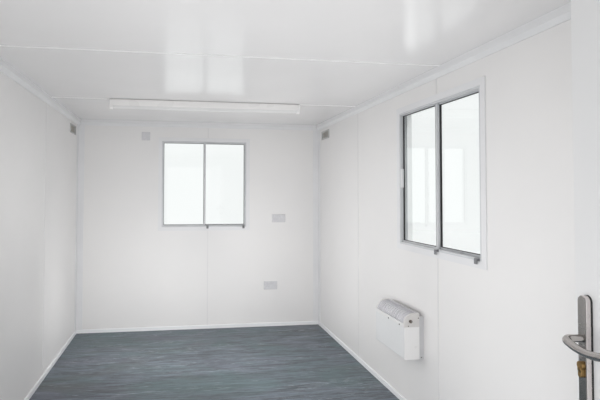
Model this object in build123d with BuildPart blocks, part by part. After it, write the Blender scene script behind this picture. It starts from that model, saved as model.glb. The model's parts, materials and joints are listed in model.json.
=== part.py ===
from build123d import *
import os
from math import asin, atan2, cos, radians, sin, tan

# Portable site cabin with one room: steel frame, insulated walls, white lining boards.
# +X is to the right looking in from the door end, +Y runs from the door to the far
# window and +Z is up. The origin is on the ground, at the centre of the footprint.
os.makedirs("parts", exist_ok=True)

# Room inside the linings
room_width = 2556
room_length = 5086

# Steel frame and floor
base_rail_height = 180
deck_thickness = 18
vinyl_thickness = 2
roof_rail_height = 108
post_corner = 6
joist_height = 120
joist_width = 50
joist_wall = 5
joist_spacing = 600
roof_joist_height = 80

# Wall make-up, from the room outwards
lining_thickness = 12
core_thickness = 55
sheet_thickness = 4
rib_height = 16
rib_foot = 70
rib_angle = 60
rib_pitch = 200
rib_end_margin = 60
post_reveal = 5

# Joints between the lining boards
board_gap = 3
strip_width = 10
strip_proud = 2
side_board_width = 1253
right_joint_start = 141
left_joint_start = 87
rear_joint_offset = 58
ceiling_board_length = 1319
ceiling_joint_start = 54
ceiling_thickness = 12

# Trims in the room
skirting_height = 36
skirting_proud = 10
skirting_chamfer = 4
coving_height = 56
coving_depth = 30
coving_slope = 21
corner_trim_width = 64
corner_trim_proud = 5

# Sliding windows
window_width = 896
window_height = 908
rear_window_sill = 1070
side_window_sill = 1082
rear_window_offset = 22
side_window_offset = -168
window_trim_width = 38
window_trim_proud = 6
frame_proud = 3
frame_depth = 50
track_lip = 8
frame_lip = 14
reveal_sheet = 3
outer_flange_width = 40
track_width = 16
track_spacing = 18
first_track_depth = 12
sash_clearance = 0.3
sash_rail = 11
sash_foot = 16
meeting_stile = 17
sash_thickness = 14
glass_thickness = 4
seal_width = 3
hook_width = 22
hook_plate = 5
hook_reach = 18
hook_drop = 16
hook_bend = 5
hook_from_middle = 32
hook_from_end = 31
pull_height = 130
pull_width = 12
pull_proud = 16
pull_corner = 4

# Door
leaf_width = 950
leaf_height = 1985
head_room = 195
leaf_thickness = 44
leaf_gap = 5
threshold_gap = 8
jamb_width = 45
stop_width = 15
door_offset = -5
door_rest_angle = 100
door_trim_width = 40
door_trim_proud = 8
hinge_axis_proud = 9
barrel_radius = 7
hinge_pin_radius = 3.5
hinge_pin_play = 0.05
barrel_web = 1
hinge_height = 100
hinge_plate_width = 30
hinge_plate_thickness = 2.5
knuckle_gap = 0.5
hinge_inset = 210

# Door furniture
plate_width = 26
plate_height = 245
plate_thickness = 14
plate_edge_radius = 2.5
plate_top_above_spindle = 89
spindle_backset = 39
spindle_height = 1127
spindle_radius = 5
spindle_hole_radius = 9
bush_clearance = 0.2
lever_radius = 8
lever_reach = 36
lever_length = 118
lever_dip = 10
lever_bend = 12
lever_return = 12
lever_seat_gap = 0.3
cylinder_drop = 64
cylinder_radius = 8.5
cylinder_height = 33
cylinder_web = 10
cylinder_proud = 6
cylinder_clearance = 0.3
faceplate_width = 22
faceplate_height = 235
faceplate_thickness = 3
faceplate_corner = 10
latch_width = 12
latch_height = 18
latch_throw = 4

# Light on the ceiling
light_length = 1555
light_width = 62
light_body_height = 54
light_gap = 5
light_spine_width = 38
diffuser_height = 24
diffuser_inset = 3
diffuser_side = 10
light_cap_length = 24
light_cap_proud = 1
light_offset_x = -27
light_offset_y = 1386
light_strip_clear = 1

# Wall heater
heater_length = 425
heater_depth = 101
heater_case_height = 202
heater_top_height = 86
heater_base = 388
heater_near_end = 306
heater_standoff = 32
heater_corner = 8
hood_lip = 10
hood_flat = 34
grille_bar = 5
grille_slots = 13
grille_inset = 2
grille_depth = 6
grille_border = 14
end_cap_width = 16
bracket_width = 30
bracket_inset = 5
bracket_drop = 24
knob_radius = 9
knob_length = 8
knob_from_wall = 92
knob_above_case = 37

# Electrical plates and vents
socket_width = 146
socket_height = 86
plate_depth = 9
blank_size = 86
plate_corner = 4
plate_bevel = 2
upper_socket_x = 827
upper_socket_height = 1158
lower_socket_x = 738
lower_socket_height = 437
blank_plate_x = -594
blank_plate_height = 2024
rocker_width = 10
rocker_height = 19
rocker_proud = 2.5
rocker_spacing = 30
outlet_spacing = 66
outlet_rise = 14
outlet_drop = 10
pin_depth = 7
pin_width = 6.5
pin_height = 4.5
pin_spacing = 22
earth_width = 4.5
earth_height = 8.5
earth_rise = 17
vent_width = 245
vent_height = 89
vent_depth = 7
vent_border = 12
vent_blades = 5
vent_blade_height = 11
vent_blade_thickness = 1.6
vent_blade_tilt = 30
vent_inset = 253
vent_centre_height = 2048

# Roof
roof_fall = 30
roof_sheet_thickness = 4
roof_rib_pitch = 250
roof_rib_height = 18
roof_rib_foot = 60
roof_edge_margin = 4
gable_thickness = 40
ridge_cap_width = 220
ridge_gap = 2
eye_width = 70
eye_thickness = 16
eye_hole_radius = 18
eye_hole_height = 40

# Levels and faces worked out from the sizes above
room_height = leaf_height + head_room
floor_top = base_rail_height + deck_thickness + vinyl_thickness
ceiling_level = floor_top + room_height
wall_top = ceiling_level + ceiling_thickness
roof_level = wall_top + roof_rail_height
half_width = room_width / 2
half_length = room_length / 2
core_inner_x = half_width + lining_thickness
core_inner_y = half_length + lining_thickness
post_size = core_thickness + sheet_thickness + rib_height + post_reveal
outer_x = core_inner_x + post_size
outer_y = core_inner_y + post_size
deck_level = base_rail_height + deck_thickness
wall_thickness = lining_thickness + core_thickness + sheet_thickness + rib_height
vent_centre_y = half_length - vent_inset
upper_socket = (upper_socket_x, upper_socket_height)
lower_socket = (lower_socket_x, lower_socket_height)
blank_plate_centre = (blank_plate_x, blank_plate_height)

# Planes on the room's wall faces: local x to the right, local y up, normal into the room
rear_face = Plane(origin=(0, half_length, floor_top), x_dir=(1, 0, 0), z_dir=(0, -1, 0))
right_face = Plane(origin=(half_width, 0, floor_top), x_dir=(0, -1, 0), z_dir=(-1, 0, 0))
left_face = Plane(origin=(-half_width, 0, floor_top), x_dir=(0, 1, 0), z_dir=(1, 0, 0))
front_face = Plane(origin=(0, -half_length, floor_top), x_dir=(-1, 0, 0), z_dir=(0, 1, 0))

# Doorway through the front wall
leaf_bottom = floor_top + threshold_gap
opening_half = leaf_width / 2 + leaf_gap
doorway_half = opening_half + jamb_width
doorway_top = leaf_bottom + leaf_height + leaf_gap + jamb_width
hinge_x = door_offset + opening_half
hinge_y = -half_length + hinge_axis_proud

# The door's own plane: local x from the hinge to the free edge, local y up and the
# normal out of the face that is inside the cabin when the door is shut.
turn = radians(door_rest_angle)
door_plane = Plane(
    origin=(hinge_x, hinge_y, leaf_bottom),
    x_dir=(-cos(turn), sin(turn), 0),
    z_dir=(sin(turn), cos(turn), 0),
)


def save(builder, node):
    builder.part.label = node
    export_step(builder.part, f"parts/{node}.step")


def slab(x_range, y_range, z_range, mode=Mode.ADD):
    """A straight board or rail between two corners, drawn in plan and extruded up."""
    with BuildSketch(Plane.XY.offset(z_range[0])) as profile:
        with Locations((sum(x_range) / 2, sum(y_range) / 2)):
            Rectangle(x_range[1] - x_range[0], y_range[1] - y_range[0])
    extrude(profile.sketch, amount=z_range[1] - z_range[0], mode=mode)


def panel(face, centre, size, near, far, mode=Mode.ADD):
    """A rectangle on a wall face, extruded from one distance off the face to another."""
    with BuildSketch(face.offset(near)) as profile:
        with Locations(centre):
            Rectangle(*size)
    extrude(profile.sketch, amount=far - near, mode=mode)


# Corner posts, base rails and roof rails
with BuildPart() as corner_posts:
    with BuildSketch():
        with GridLocations(2 * outer_x - post_size, 2 * outer_y - post_size, 2, 2):
            RectangleRounded(post_size, post_size, post_corner)
    extrude(amount=roof_level)
save(corner_posts, "corner_posts")


def rail_ring(bottom, height):
    """Four rails between the posts, two along the sides and two along the ends."""
    with BuildSketch(Plane.XY.offset(bottom)) as profile:
        with GridLocations(2 * outer_x - post_size, 1, 2, 1):
            Rectangle(post_size, 2 * core_inner_y)
        with GridLocations(1, 2 * outer_y - post_size, 1, 2):
            Rectangle(2 * core_inner_x, post_size)
    extrude(profile.sketch, amount=height)


with BuildPart() as base_rails:
    rail_ring(0, base_rail_height)
save(base_rails, "base_rails")

with BuildPart() as roof_rails:
    rail_ring(wall_top, roof_rail_height)
save(roof_rails, "roof_rails")


def channel_joists(top, height, spacing):
    """Channel sections across the cabin, open to one side, under a deck or roof."""
    count = int((2 * core_inner_y - joist_width) // spacing) + 1
    step = (2 * core_inner_y - joist_width) / (count - 1)
    with BuildSketch(Plane.YZ.offset(-core_inner_x)) as profile:
        with Locations((0, top - height / 2)):
            with GridLocations(step, 1, count, 1):
                Rectangle(joist_width, height)
        with Locations((joist_wall, top - height / 2)):
            with GridLocations(step, 1, count, 1):
                Rectangle(joist_width, height - 2 * joist_wall, mode=Mode.SUBTRACT)
    extrude(profile.sketch, amount=2 * core_inner_x)


with BuildPart() as floor_joists:
    channel_joists(base_rail_height, joist_height, joist_spacing)
save(floor_joists, "floor_joists")

with BuildPart() as roof_joists:
    channel_joists(wall_top + roof_joist_height, roof_joist_height, joist_spacing)
save(roof_joists, "roof_joists")

# Floor
with BuildPart() as floor_deck:
    slab((-core_inner_x, core_inner_x), (-core_inner_y, core_inner_y), (base_rail_height, deck_level))
    slab(
        (door_offset - doorway_half, door_offset + doorway_half),
        (-core_inner_y, -half_length),
        (base_rail_height, deck_level),
        Mode.SUBTRACT,
    )
save(floor_deck, "floor_deck")

with BuildPart() as floor_vinyl:
    slab((-half_width, half_width), (-half_length, half_length), (deck_level, floor_top))
save(floor_vinyl, "floor_vinyl")


# Insulated wall cores, standing on the deck's edge rails between the posts
window_size = (window_width, window_height)
core_bottom = base_rail_height - floor_top
core_height = wall_top - base_rail_height
core_middle = core_bottom + core_height / 2
rear_window_centre = (rear_window_offset, rear_window_sill + window_height / 2)
side_window_centre = (side_window_offset, side_window_sill + window_height / 2)


def wall_core(face, run, window=None):
    near = -lining_thickness
    far = near - core_thickness
    panel(face, (0, core_middle), (run, core_height), near, far)
    if window:
        panel(face, window, window_size, near, far, mode=Mode.SUBTRACT)


with BuildPart() as left_wall:
    wall_core(left_face, 2 * core_inner_y)
save(left_wall, "left_wall")

with BuildPart() as right_wall:
    wall_core(right_face, 2 * core_inner_y, side_window_centre)
save(right_wall, "right_wall")

with BuildPart() as rear_wall:
    wall_core(rear_face, 2 * core_inner_x, rear_window_centre)
save(rear_wall, "rear_wall")

core_front = -core_inner_y
core_back = core_front - core_thickness
doorway_left = door_offset - doorway_half
doorway_right = door_offset + doorway_half
with BuildPart() as front_wall_left:
    slab((-core_inner_x, doorway_left), (core_back, core_front), (base_rail_height, wall_top))
save(front_wall_left, "front_wall_left")

with BuildPart() as front_wall_right:
    slab((doorway_right, core_inner_x), (core_back, core_front), (base_rail_height, wall_top))
save(front_wall_right, "front_wall_right")

with BuildPart() as front_wall_over_door:
    slab((doorway_left, doorway_right), (core_back, core_front), (doorway_top, wall_top))
save(front_wall_over_door, "front_wall_over_door")


# Ribbed steel sheet on the outside of each wall
def ribbed_sheet(face, run):
    """Flat sheet with upright trapezoid ribs, drawn in plan and extruded up the wall."""
    skin = -lining_thickness - core_thickness
    plan = Plane(
        origin=face.origin + face.z_dir * skin - Vector(0, 0, floor_top - base_rail_height),
        x_dir=face.x_dir,
        z_dir=(0, 0, 1),
    )
    count = int((run - 2 * rib_end_margin - rib_foot) // rib_pitch) + 1
    with BuildSketch(plan) as profile:
        with Locations((0, sheet_thickness / 2)):
            Rectangle(run, sheet_thickness)
        with Locations((0, sheet_thickness + rib_height / 2)):
            with GridLocations(rib_pitch, 1, count, 1):
                Trapezoid(rib_foot, rib_height, rib_angle)
    extrude(profile.sketch, amount=core_height)


def sheet_hole(face, centre, size):
    near = -lining_thickness
    panel(face, centre, size, near, near - post_size, mode=Mode.SUBTRACT)


with BuildPart() as side_cladding:
    ribbed_sheet(left_face, 2 * core_inner_y)
    ribbed_sheet(right_face, 2 * core_inner_y)
    sheet_hole(right_face, side_window_centre, window_size)
save(side_cladding, "side_cladding")

with BuildPart() as end_cladding:
    ribbed_sheet(rear_face, 2 * core_inner_x)
    ribbed_sheet(front_face, 2 * core_inner_x)
    sheet_hole(rear_face, rear_window_centre, window_size)
    doorway_height = doorway_top - base_rail_height
    sheet_hole(
        front_face,
        (-door_offset, core_bottom + doorway_height / 2),
        (2 * doorway_half, doorway_height),
    )
save(end_cladding, "end_cladding")


# Lining boards, with the joints where the boards meet
def board_edges(run, first_joint, board):
    """Board ends along a wall, from joints one board apart through the first joint."""
    low, high = -run / 2, run / 2
    joints = [first_joint]
    while joints[0] - board > low:
        joints.insert(0, joints[0] - board)
    while joints[-1] + board < high:
        joints.append(joints[-1] + board)
    return low, high, joints


def lining_boards(face, run, first_joint, board, holes=()):
    low, high, joints = board_edges(run, first_joint, board)
    lining_height = ceiling_level - deck_level
    middle = (ceiling_level + deck_level) / 2 - floor_top
    panel(face, ((low + high) / 2, middle), (high - low, lining_height), 0, -lining_thickness)
    for joint in joints:
        panel(face, (joint, middle), (board_gap, lining_height), 0, -lining_thickness, Mode.SUBTRACT)
    for centre, size in holes:
        panel(face, centre, size, 0, -lining_thickness, Mode.SUBTRACT)


vent_hole = (vent_width - 2 * vent_border, vent_height - 2 * vent_border)
right_vent_centre = (-vent_centre_y, vent_centre_height)
left_vent_centre = (vent_centre_y, vent_centre_height)

with BuildPart() as left_lining:
    lining_boards(
        left_face, room_length, left_joint_start, side_board_width, [(left_vent_centre, vent_hole)]
    )
save(left_lining, "left_lining")

with BuildPart() as right_lining:
    lining_boards(
        right_face,
        room_length,
        -right_joint_start,
        side_board_width,
        [(side_window_centre, window_size), (right_vent_centre, vent_hole)],
    )
save(right_lining, "right_lining")

with BuildPart() as rear_lining:
    lining_boards(
        rear_face,
        2 * core_inner_x,
        rear_joint_offset,
        room_width,
        [(rear_window_centre, window_size)],
    )
save(rear_lining, "rear_lining")

with BuildPart() as front_lining:
    lining_boards(
        front_face,
        2 * core_inner_x,
        -door_offset,
        2 * room_width,
        [
            (
                (-door_offset, (doorway_top - floor_top + core_bottom) / 2),
                (2 * doorway_half, doorway_top - floor_top - core_bottom),
            )
        ],
    )
save(front_lining, "front_lining")

# Ceiling boards
ceiling_low, ceiling_high, ceiling_joints = board_edges(
    2 * core_inner_y, ceiling_joint_start, ceiling_board_length
)
with BuildPart() as ceiling_boards:
    slab((-core_inner_x, core_inner_x), (ceiling_low, ceiling_high), (ceiling_level, wall_top))
    for joint in ceiling_joints:
        slab(
            (-core_inner_x, core_inner_x),
            (joint - board_gap / 2, joint + board_gap / 2),
            (ceiling_level, wall_top),
            Mode.SUBTRACT,
        )
save(ceiling_boards, "ceiling_boards")

# Cover strips over the board joints
strip_bottom = skirting_height
strip_top = room_height - coving_height
strip_size = (strip_width, strip_top - strip_bottom)
strip_middle = (strip_top + strip_bottom) / 2


def wall_strips(face, run, first_joint, board):
    for joint in board_edges(run, first_joint, board)[2]:
        panel(face, (joint, strip_middle), strip_size, 0, strip_proud)


def strip_gap(face, centre):
    """Stops the strips at the outer edge of a window's trim."""
    size = (window_width + 2 * window_trim_width, window_height + 2 * window_trim_width)
    panel(face, centre, size, 0, strip_proud, Mode.SUBTRACT)


light_clear = light_width / 2 + light_strip_clear
with BuildPart() as joint_strips:
    wall_strips(left_face, room_length, left_joint_start, side_board_width)
    wall_strips(right_face, room_length, -right_joint_start, side_board_width)
    wall_strips(rear_face, 2 * core_inner_x, rear_joint_offset, room_width)
    strip_gap(right_face, side_window_centre)
    strip_gap(rear_face, rear_window_centre)
    for joint in ceiling_joints:
        slab(
            (-half_width + coving_depth, half_width - coving_depth),
            (joint - strip_width / 2, joint + strip_width / 2),
            (ceiling_level - strip_proud, ceiling_level),
        )
    slab(
        (light_offset_x - light_length / 2, light_offset_x + light_length / 2),
        (light_offset_y - light_clear, light_offset_y + light_clear),
        (ceiling_level - strip_proud, ceiling_level),
        Mode.SUBTRACT,
    )
save(joint_strips, "joint_strips")


def inner_edges(edges):
    """The long edges that stand off the walls, out of the edges at one level."""
    along = edges.filter_by(lambda edge: edge.length > 2 * coving_depth)
    along = along.filter_by(lambda edge: abs(edge.center().X) < half_width - skirting_chamfer)
    return along.filter_by(lambda edge: abs(edge.center().Y) < half_length - skirting_chamfer)


# Coving round the ceiling, skirting round the floor and cover angles up the corners
with BuildPart() as coving:
    with BuildSketch(Plane.XY.offset(ceiling_level)):
        Rectangle(room_width, room_length)
        offset(amount=-coving_depth, kind=Kind.INTERSECTION, mode=Mode.SUBTRACT)
    extrude(amount=-coving_height)
    chamfer(inner_edges(coving.edges().group_by(Axis.Z)[0]), length=coving_slope)
save(coving, "coving")

with BuildPart() as skirting:
    with BuildSketch(Plane.XY.offset(floor_top)):
        Rectangle(room_width, room_length)
        offset(amount=-skirting_proud, kind=Kind.INTERSECTION, mode=Mode.SUBTRACT)
        with Locations((door_offset, -half_length)):
            trim_clear = doorway_half + door_trim_width
            Rectangle(2 * trim_clear, 4 * skirting_proud, mode=Mode.SUBTRACT)
    extrude(amount=skirting_height)
    chamfer(inner_edges(skirting.edges().group_by(Axis.Z)[-1]), length=skirting_chamfer)
save(skirting, "skirting")

with BuildPart() as corner_trims:
    with BuildSketch(Plane.XY.offset(floor_top + skirting_height)):
        with GridLocations(
            room_width - corner_trim_width, room_length - corner_trim_width, 2, 2
        ):
            Rectangle(corner_trim_width, corner_trim_width)
        Rectangle(
            room_width - 2 * corner_trim_proud,
            room_length - 2 * corner_trim_proud,
            mode=Mode.SUBTRACT,
        )
    extrude(amount=room_height - skirting_height - coving_height)
save(corner_trims, "corner_trims")


# Sliding windows: a two-track frame with two sashes, the right one in the outer track
def ring(face, centre, outer, inner, near, far, mode=Mode.ADD):
    with BuildSketch(face.offset(near)) as profile:
        with Locations(centre):
            Rectangle(*outer)
            Rectangle(*inner, mode=Mode.SUBTRACT)
    extrude(profile.sketch, amount=far - near, mode=mode)


def shrink(size, amount):
    return size[0] - 2 * amount, size[1] - 2 * amount


def track_start(track):
    return first_track_depth + track * track_spacing


def window_frame(face, centre):
    lip = shrink(window_size, frame_lip)
    bottom = shrink(window_size, track_lip)
    ring(face, centre, window_size, lip, frame_proud, -frame_depth)
    for track in range(2):
        start = track_start(track)
        ring(face, centre, bottom, lip, -start, -start - track_width, Mode.SUBTRACT)


def window_reveal(face, centre):
    """White sheet through the rest of the wall, with a flange over the outside ribs."""
    inner = shrink(window_size, reveal_sheet)
    flange = shrink(window_size, -outer_flange_width)
    back = -wall_thickness - reveal_sheet
    ring(face, centre, window_size, inner, -frame_depth, back)
    ring(face, centre, flange, inner, -wall_thickness, back)


def sash_outline(centre, side):
    """Centre and size of a sash: side -1 is the left one, 1 the right one."""
    edge = window_width / 2 - track_lip - sash_clearance
    width = edge + meeting_stile / 2
    height = window_height - 2 * track_lip - 2 * sash_clearance
    middle = side * (edge - meeting_stile / 2) / 2
    return (centre[0] + middle, centre[1]), (width, height)


def pane_outline(centre, side):
    sash_centre, sash_size = sash_outline(centre, side)
    shift = side * (meeting_stile - sash_rail) / 2
    rise = (sash_foot - sash_rail) / 2
    width = sash_size[0] - sash_rail - meeting_stile
    height = sash_size[1] - sash_rail - sash_foot
    return (sash_centre[0] + shift, sash_centre[1] + rise), (width, height)


def sash_front(side):
    track = 0 if side < 0 else 1
    return -track_start(track) - (track_width - sash_thickness) / 2


def sash(face, centre, side):
    near = sash_front(side)
    sash_centre, sash_size = sash_outline(centre, side)
    pane_centre, pane_size = pane_outline(centre, side)
    panel(face, sash_centre, sash_size, near, near - sash_thickness)
    panel(face, pane_centre, pane_size, near, near - sash_thickness, Mode.SUBTRACT)


def pane(face, centre, side):
    near = sash_front(side) - (sash_thickness - glass_thickness) / 2
    pane_centre, pane_size = pane_outline(centre, side)
    panel(face, pane_centre, pane_size, near, near - glass_thickness)


def pane_seals(face, centre, side):
    """Dark rubber round a pane, on both faces of its glass."""
    front = sash_front(side)
    seal_depth = (sash_thickness - glass_thickness) / 2
    pane_centre, pane_size = pane_outline(centre, side)
    inner = shrink(pane_size, seal_width)
    for near in (front, front - seal_depth - glass_thickness):
        ring(face, pane_centre, pane_size, inner, near, near - seal_depth)


def window_trim(face, centre):
    outer = shrink(window_size, -window_trim_width)
    ring(face, centre, outer, window_size, 0, window_trim_proud)


def window_catches(face, centre):
    """Two hooks under the right sash: one at the meeting stile and one at the end."""
    bottom = centre[1] - window_height / 2
    inner_end = centre[0] + hook_from_middle
    outer_end = centre[0] + window_width / 2 - hook_from_end
    for position in (inner_end, outer_end):
        side_on = Plane(
            origin=face.from_local_coords((position + hook_width / 2, bottom, frame_proud)),
            x_dir=face.z_dir,
            z_dir=-face.x_dir,
        )
        with BuildSketch(side_on) as profile:
            Rectangle(hook_reach, frame_lip, align=(Align.MIN, Align.MIN))
            with Locations((hook_reach, frame_lip)):
                Rectangle(hook_plate, frame_lip + hook_drop, align=(Align.MAX, Align.MAX))
            with Locations((0, frame_lip - hook_plate)):
                Rectangle(
                    hook_reach - hook_plate, frame_lip, align=(Align.MIN, Align.MAX), mode=Mode.SUBTRACT
                )
            Rectangle(hook_plate, frame_lip, align=(Align.MIN, Align.MIN))
            top_corner = profile.vertices().sort_by(Axis.X)[-2:].sort_by(Axis.Y)[-1]
            fillet(top_corner, hook_bend)
        extrude(profile.sketch, amount=hook_width)


windows = {
    "rear": (rear_face, rear_window_centre),
    "side": (right_face, side_window_centre),
}
for place, (face, centre) in windows.items():
    with BuildPart() as frame_part:
        window_frame(face, centre)
    save(frame_part, f"{place}_window_frame")
    with BuildPart() as sashes_part:
        sash(face, centre, -1)
        sash(face, centre, 1)
    save(sashes_part, f"{place}_window_sashes")

with BuildPart() as window_glass:
    for face, centre in windows.values():
        pane(face, centre, -1)
        pane(face, centre, 1)
save(window_glass, "window_glass")

with BuildPart() as window_seals:
    for face, centre in windows.values():
        pane_seals(face, centre, -1)
        pane_seals(face, centre, 1)
save(window_seals, "window_seals")

with BuildPart() as window_trims:
    for face, centre in windows.values():
        window_trim(face, centre)
save(window_trims, "window_trims")

with BuildPart() as window_reveals:
    for face, centre in windows.values():
        window_reveal(face, centre)
save(window_reveals, "window_reveals")

with BuildPart() as window_hooks:
    for face, centre in windows.values():
        window_catches(face, centre)
save(window_hooks, "window_hooks")

with BuildPart() as window_pull:
    left_edge = side_window_offset - window_width / 2 + frame_lip
    with BuildSketch(right_face.offset(sash_front(-1))):
        with Locations((left_edge + pull_width / 2, side_window_centre[1])):
            RectangleRounded(pull_width, pull_height, pull_corner)
    extrude(amount=pull_proud)
save(window_pull, "window_pull")

# Door frame, threshold and trim
frame_front = -half_length
frame_rear = frame_front - wall_thickness
stop_front = frame_front - leaf_thickness - leaf_gap
frame_rise = doorway_top - base_rail_height
opening_rise = leaf_bottom + leaf_height + leaf_gap - base_rail_height


def arch(outer_half, outer_rise, inner_half, inner_rise):
    """Two uprights and a head, standing on the base rail's top."""
    with Locations((door_offset, base_rail_height)):
        Rectangle(2 * outer_half, outer_rise, align=(Align.CENTER, Align.MIN))
        Rectangle(
            2 * inner_half, inner_rise, align=(Align.CENTER, Align.MIN), mode=Mode.SUBTRACT
        )


with BuildPart() as door_frame:
    with BuildSketch(Plane.XZ.offset(-frame_front)):
        arch(doorway_half, frame_rise, opening_half, opening_rise)
    extrude(amount=wall_thickness)
    with BuildSketch(Plane.XZ.offset(-stop_front)):
        arch(opening_half, opening_rise, opening_half - stop_width, opening_rise - stop_width)
    extrude(amount=stop_front - frame_rear)
    keep_level = leaf_bottom + spindle_height - threshold_gap
    with BuildSketch(Plane.XZ.offset(-frame_front)):
        with Locations((door_offset - opening_half, keep_level)):
            Rectangle(2 * (latch_throw + leaf_gap), latch_height + 2 * leaf_gap)
    extrude(amount=leaf_thickness, mode=Mode.SUBTRACT)
save(door_frame, "door_frame")

with BuildPart() as door_threshold:
    slab(
        (door_offset - opening_half, door_offset + opening_half),
        (stop_front, frame_front),
        (base_rail_height, floor_top),
    )
    slab(
        (door_offset - opening_half + stop_width, door_offset + opening_half - stop_width),
        (frame_rear, stop_front),
        (base_rail_height, floor_top),
    )
save(door_threshold, "door_threshold")

with BuildPart() as door_trim:
    with BuildSketch(Plane.XZ.offset(-frame_front)):
        arch(
            doorway_half + door_trim_width,
            frame_rise + door_trim_width,
            doorway_half - leaf_gap,
            frame_rise - leaf_gap,
        )
    extrude(amount=-door_trim_proud)
    slab(
        (doorway_left - door_trim_width, doorway_right + door_trim_width),
        (frame_front, frame_front + door_trim_proud),
        (base_rail_height, floor_top),
        Mode.SUBTRACT,
    )
save(door_trim, "door_trim")

# Door leaf, in the door's own plane
inner_side = -hinge_axis_proud
outer_side = inner_side - leaf_thickness
free_edge = leaf_gap + leaf_width
spindle_x = free_edge - spindle_backset
spindle_y = spindle_height - threshold_gap
cylinder_y = spindle_y - cylinder_drop


def cylinder_profile(extra):
    """Round body over a narrower web, as a lock cylinder's end shows."""
    web_drop = cylinder_height - 2 * cylinder_radius
    with Locations((spindle_x, cylinder_y + cylinder_height / 2 - cylinder_radius)):
        Circle(cylinder_radius + extra)
        Rectangle(
            cylinder_web + 2 * extra,
            web_drop + cylinder_radius - cylinder_web / 2 + extra,
            align=(Align.CENTER, Align.MAX),
        )
    with Locations((spindle_x, cylinder_y - cylinder_height / 2 + cylinder_web / 2)):
        Circle(cylinder_web / 2 + extra)


with BuildPart() as door_leaf:
    with BuildSketch(door_plane.offset(inner_side)):
        with Locations((leaf_gap, 0)):
            Rectangle(leaf_width, leaf_height, align=(Align.MIN, Align.MIN))
        with Locations((spindle_x, spindle_y)):
            Circle(spindle_hole_radius, mode=Mode.SUBTRACT)
    extrude(amount=-leaf_thickness)
    with BuildSketch(door_plane.offset(inner_side)):
        cylinder_profile(cylinder_clearance)
    extrude(amount=-leaf_thickness, mode=Mode.SUBTRACT)
    edge_plane = Plane(
        origin=door_plane.from_local_coords((free_edge, spindle_y, inner_side - leaf_thickness / 2)),
        x_dir=door_plane.z_dir,
        z_dir=door_plane.x_dir,
    )
    with BuildSketch(edge_plane):
        RectangleRounded(faceplate_width, faceplate_height, faceplate_corner)
    extrude(amount=-faceplate_thickness, mode=Mode.SUBTRACT)
save(door_leaf, "door_leaf")

with BuildPart() as lock_faceplate:
    with BuildSketch(edge_plane):
        RectangleRounded(faceplate_width, faceplate_height, faceplate_corner)
    extrude(amount=-faceplate_thickness)
    with BuildSketch(edge_plane):
        Rectangle(latch_width, latch_height)
    extrude(amount=latch_throw)
save(lock_faceplate, "lock_faceplate")


# Handle plates on both faces, with a rounded top and foot
def handle_plate(side_offset, outward):
    plate_middle = spindle_y + plate_top_above_spindle - plate_height / 2
    with BuildSketch(door_plane.offset(side_offset)) as profile:
        with Locations((spindle_x, plate_middle)):
            SlotOverall(plate_height, plate_width, rotation=90)
        with Locations((spindle_x, spindle_y)):
            Circle(spindle_radius + bush_clearance, mode=Mode.SUBTRACT)
    extrude(profile.sketch, amount=outward * plate_thickness)


with BuildPart() as handle_plates:
    handle_plate(inner_side, 1)
    handle_plate(outer_side, -1)
    across_door = Axis(door_plane.origin, door_plane.z_dir)
    rims = handle_plates.faces().sort_by(across_door)
    fillet(rims[0].outer_wire().edges() + rims[-1].outer_wire().edges(), plate_edge_radius)
    with BuildSketch(door_plane.offset(inner_side + plate_thickness)):
        cylinder_profile(cylinder_clearance)
    extrude(amount=-leaf_thickness - 2 * plate_thickness, mode=Mode.SUBTRACT)
save(handle_plates, "handle_plates")

with BuildPart() as lock_cylinder:
    reach = plate_thickness + cylinder_proud
    with BuildSketch(door_plane.offset(inner_side + reach)):
        cylinder_profile(0)
    extrude(amount=-leaf_thickness - 2 * reach)
save(lock_cylinder, "lock_cylinder")


# Levers: a neck out of the plate, a grip that dips towards its middle and a return
def lever_path(start, outward):
    """Centre line in the door's plane, from the spindle out and towards the hinge."""
    chord = lever_length
    grip_radius = (chord**2 / 4 + lever_dip**2) / (2 * lever_dip)
    slope = asin(chord / 2 / grip_radius)
    reach = start + outward * lever_reach
    bend_in = lever_bend * (1 - cos(radians(45)))
    along = Vector(-cos(slope), -sin(slope), 0)
    back = Vector(-cos(slope), sin(slope), 0)
    out = Vector(0, 0, outward)
    neck = Vector(spindle_x, spindle_y, reach)
    tip = Vector(spindle_x - chord, spindle_y, reach)
    neck_end = neck - out * lever_bend
    grip_start = neck + along * lever_bend
    neck_middle = neck - out * bend_in + along * bend_in
    grip_end = tip - back * lever_bend
    tip_start = tip - out * lever_bend
    tip_middle = tip - out * bend_in - back * bend_in
    grip_middle = Vector(spindle_x - chord / 2, spindle_y - lever_dip, reach)
    tip_end = tip_start - out * lever_return
    Line((spindle_x, spindle_y, start), tuple(neck_end))
    ThreePointArc(tuple(neck_end), tuple(neck_middle), tuple(grip_start))
    ThreePointArc(tuple(grip_start), tuple(grip_middle), tuple(grip_end))
    ThreePointArc(tuple(grip_end), tuple(tip_middle), tuple(tip_start))
    Line(tuple(tip_start), tuple(tip_end))


with BuildPart() as lever_handles:
    for start, outward in (
        (inner_side + plate_thickness + lever_seat_gap, 1),
        (outer_side - plate_thickness - lever_seat_gap, -1),
    ):
        with BuildLine(door_plane) as lever_line:
            lever_path(start, outward)
        grip_wire = lever_line.wire()
        with BuildSketch(Plane(origin=grip_wire @ 0, z_dir=grip_wire % 0)):
            Circle(lever_radius)
        sweep(path=grip_wire)
    with BuildSketch(door_plane.offset(inner_side + plate_thickness + lever_seat_gap)):
        with Locations((spindle_x, spindle_y)):
            Circle(spindle_radius)
    extrude(amount=-leaf_thickness - 2 * (plate_thickness + lever_seat_gap))
save(lever_handles, "lever_handles")


# Butt hinges: the fixed half carries the pin and the outer knuckles
knuckle = hinge_height / 3
hinge_levels = (hinge_inset, leaf_height / 2, leaf_height - hinge_inset)


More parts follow.
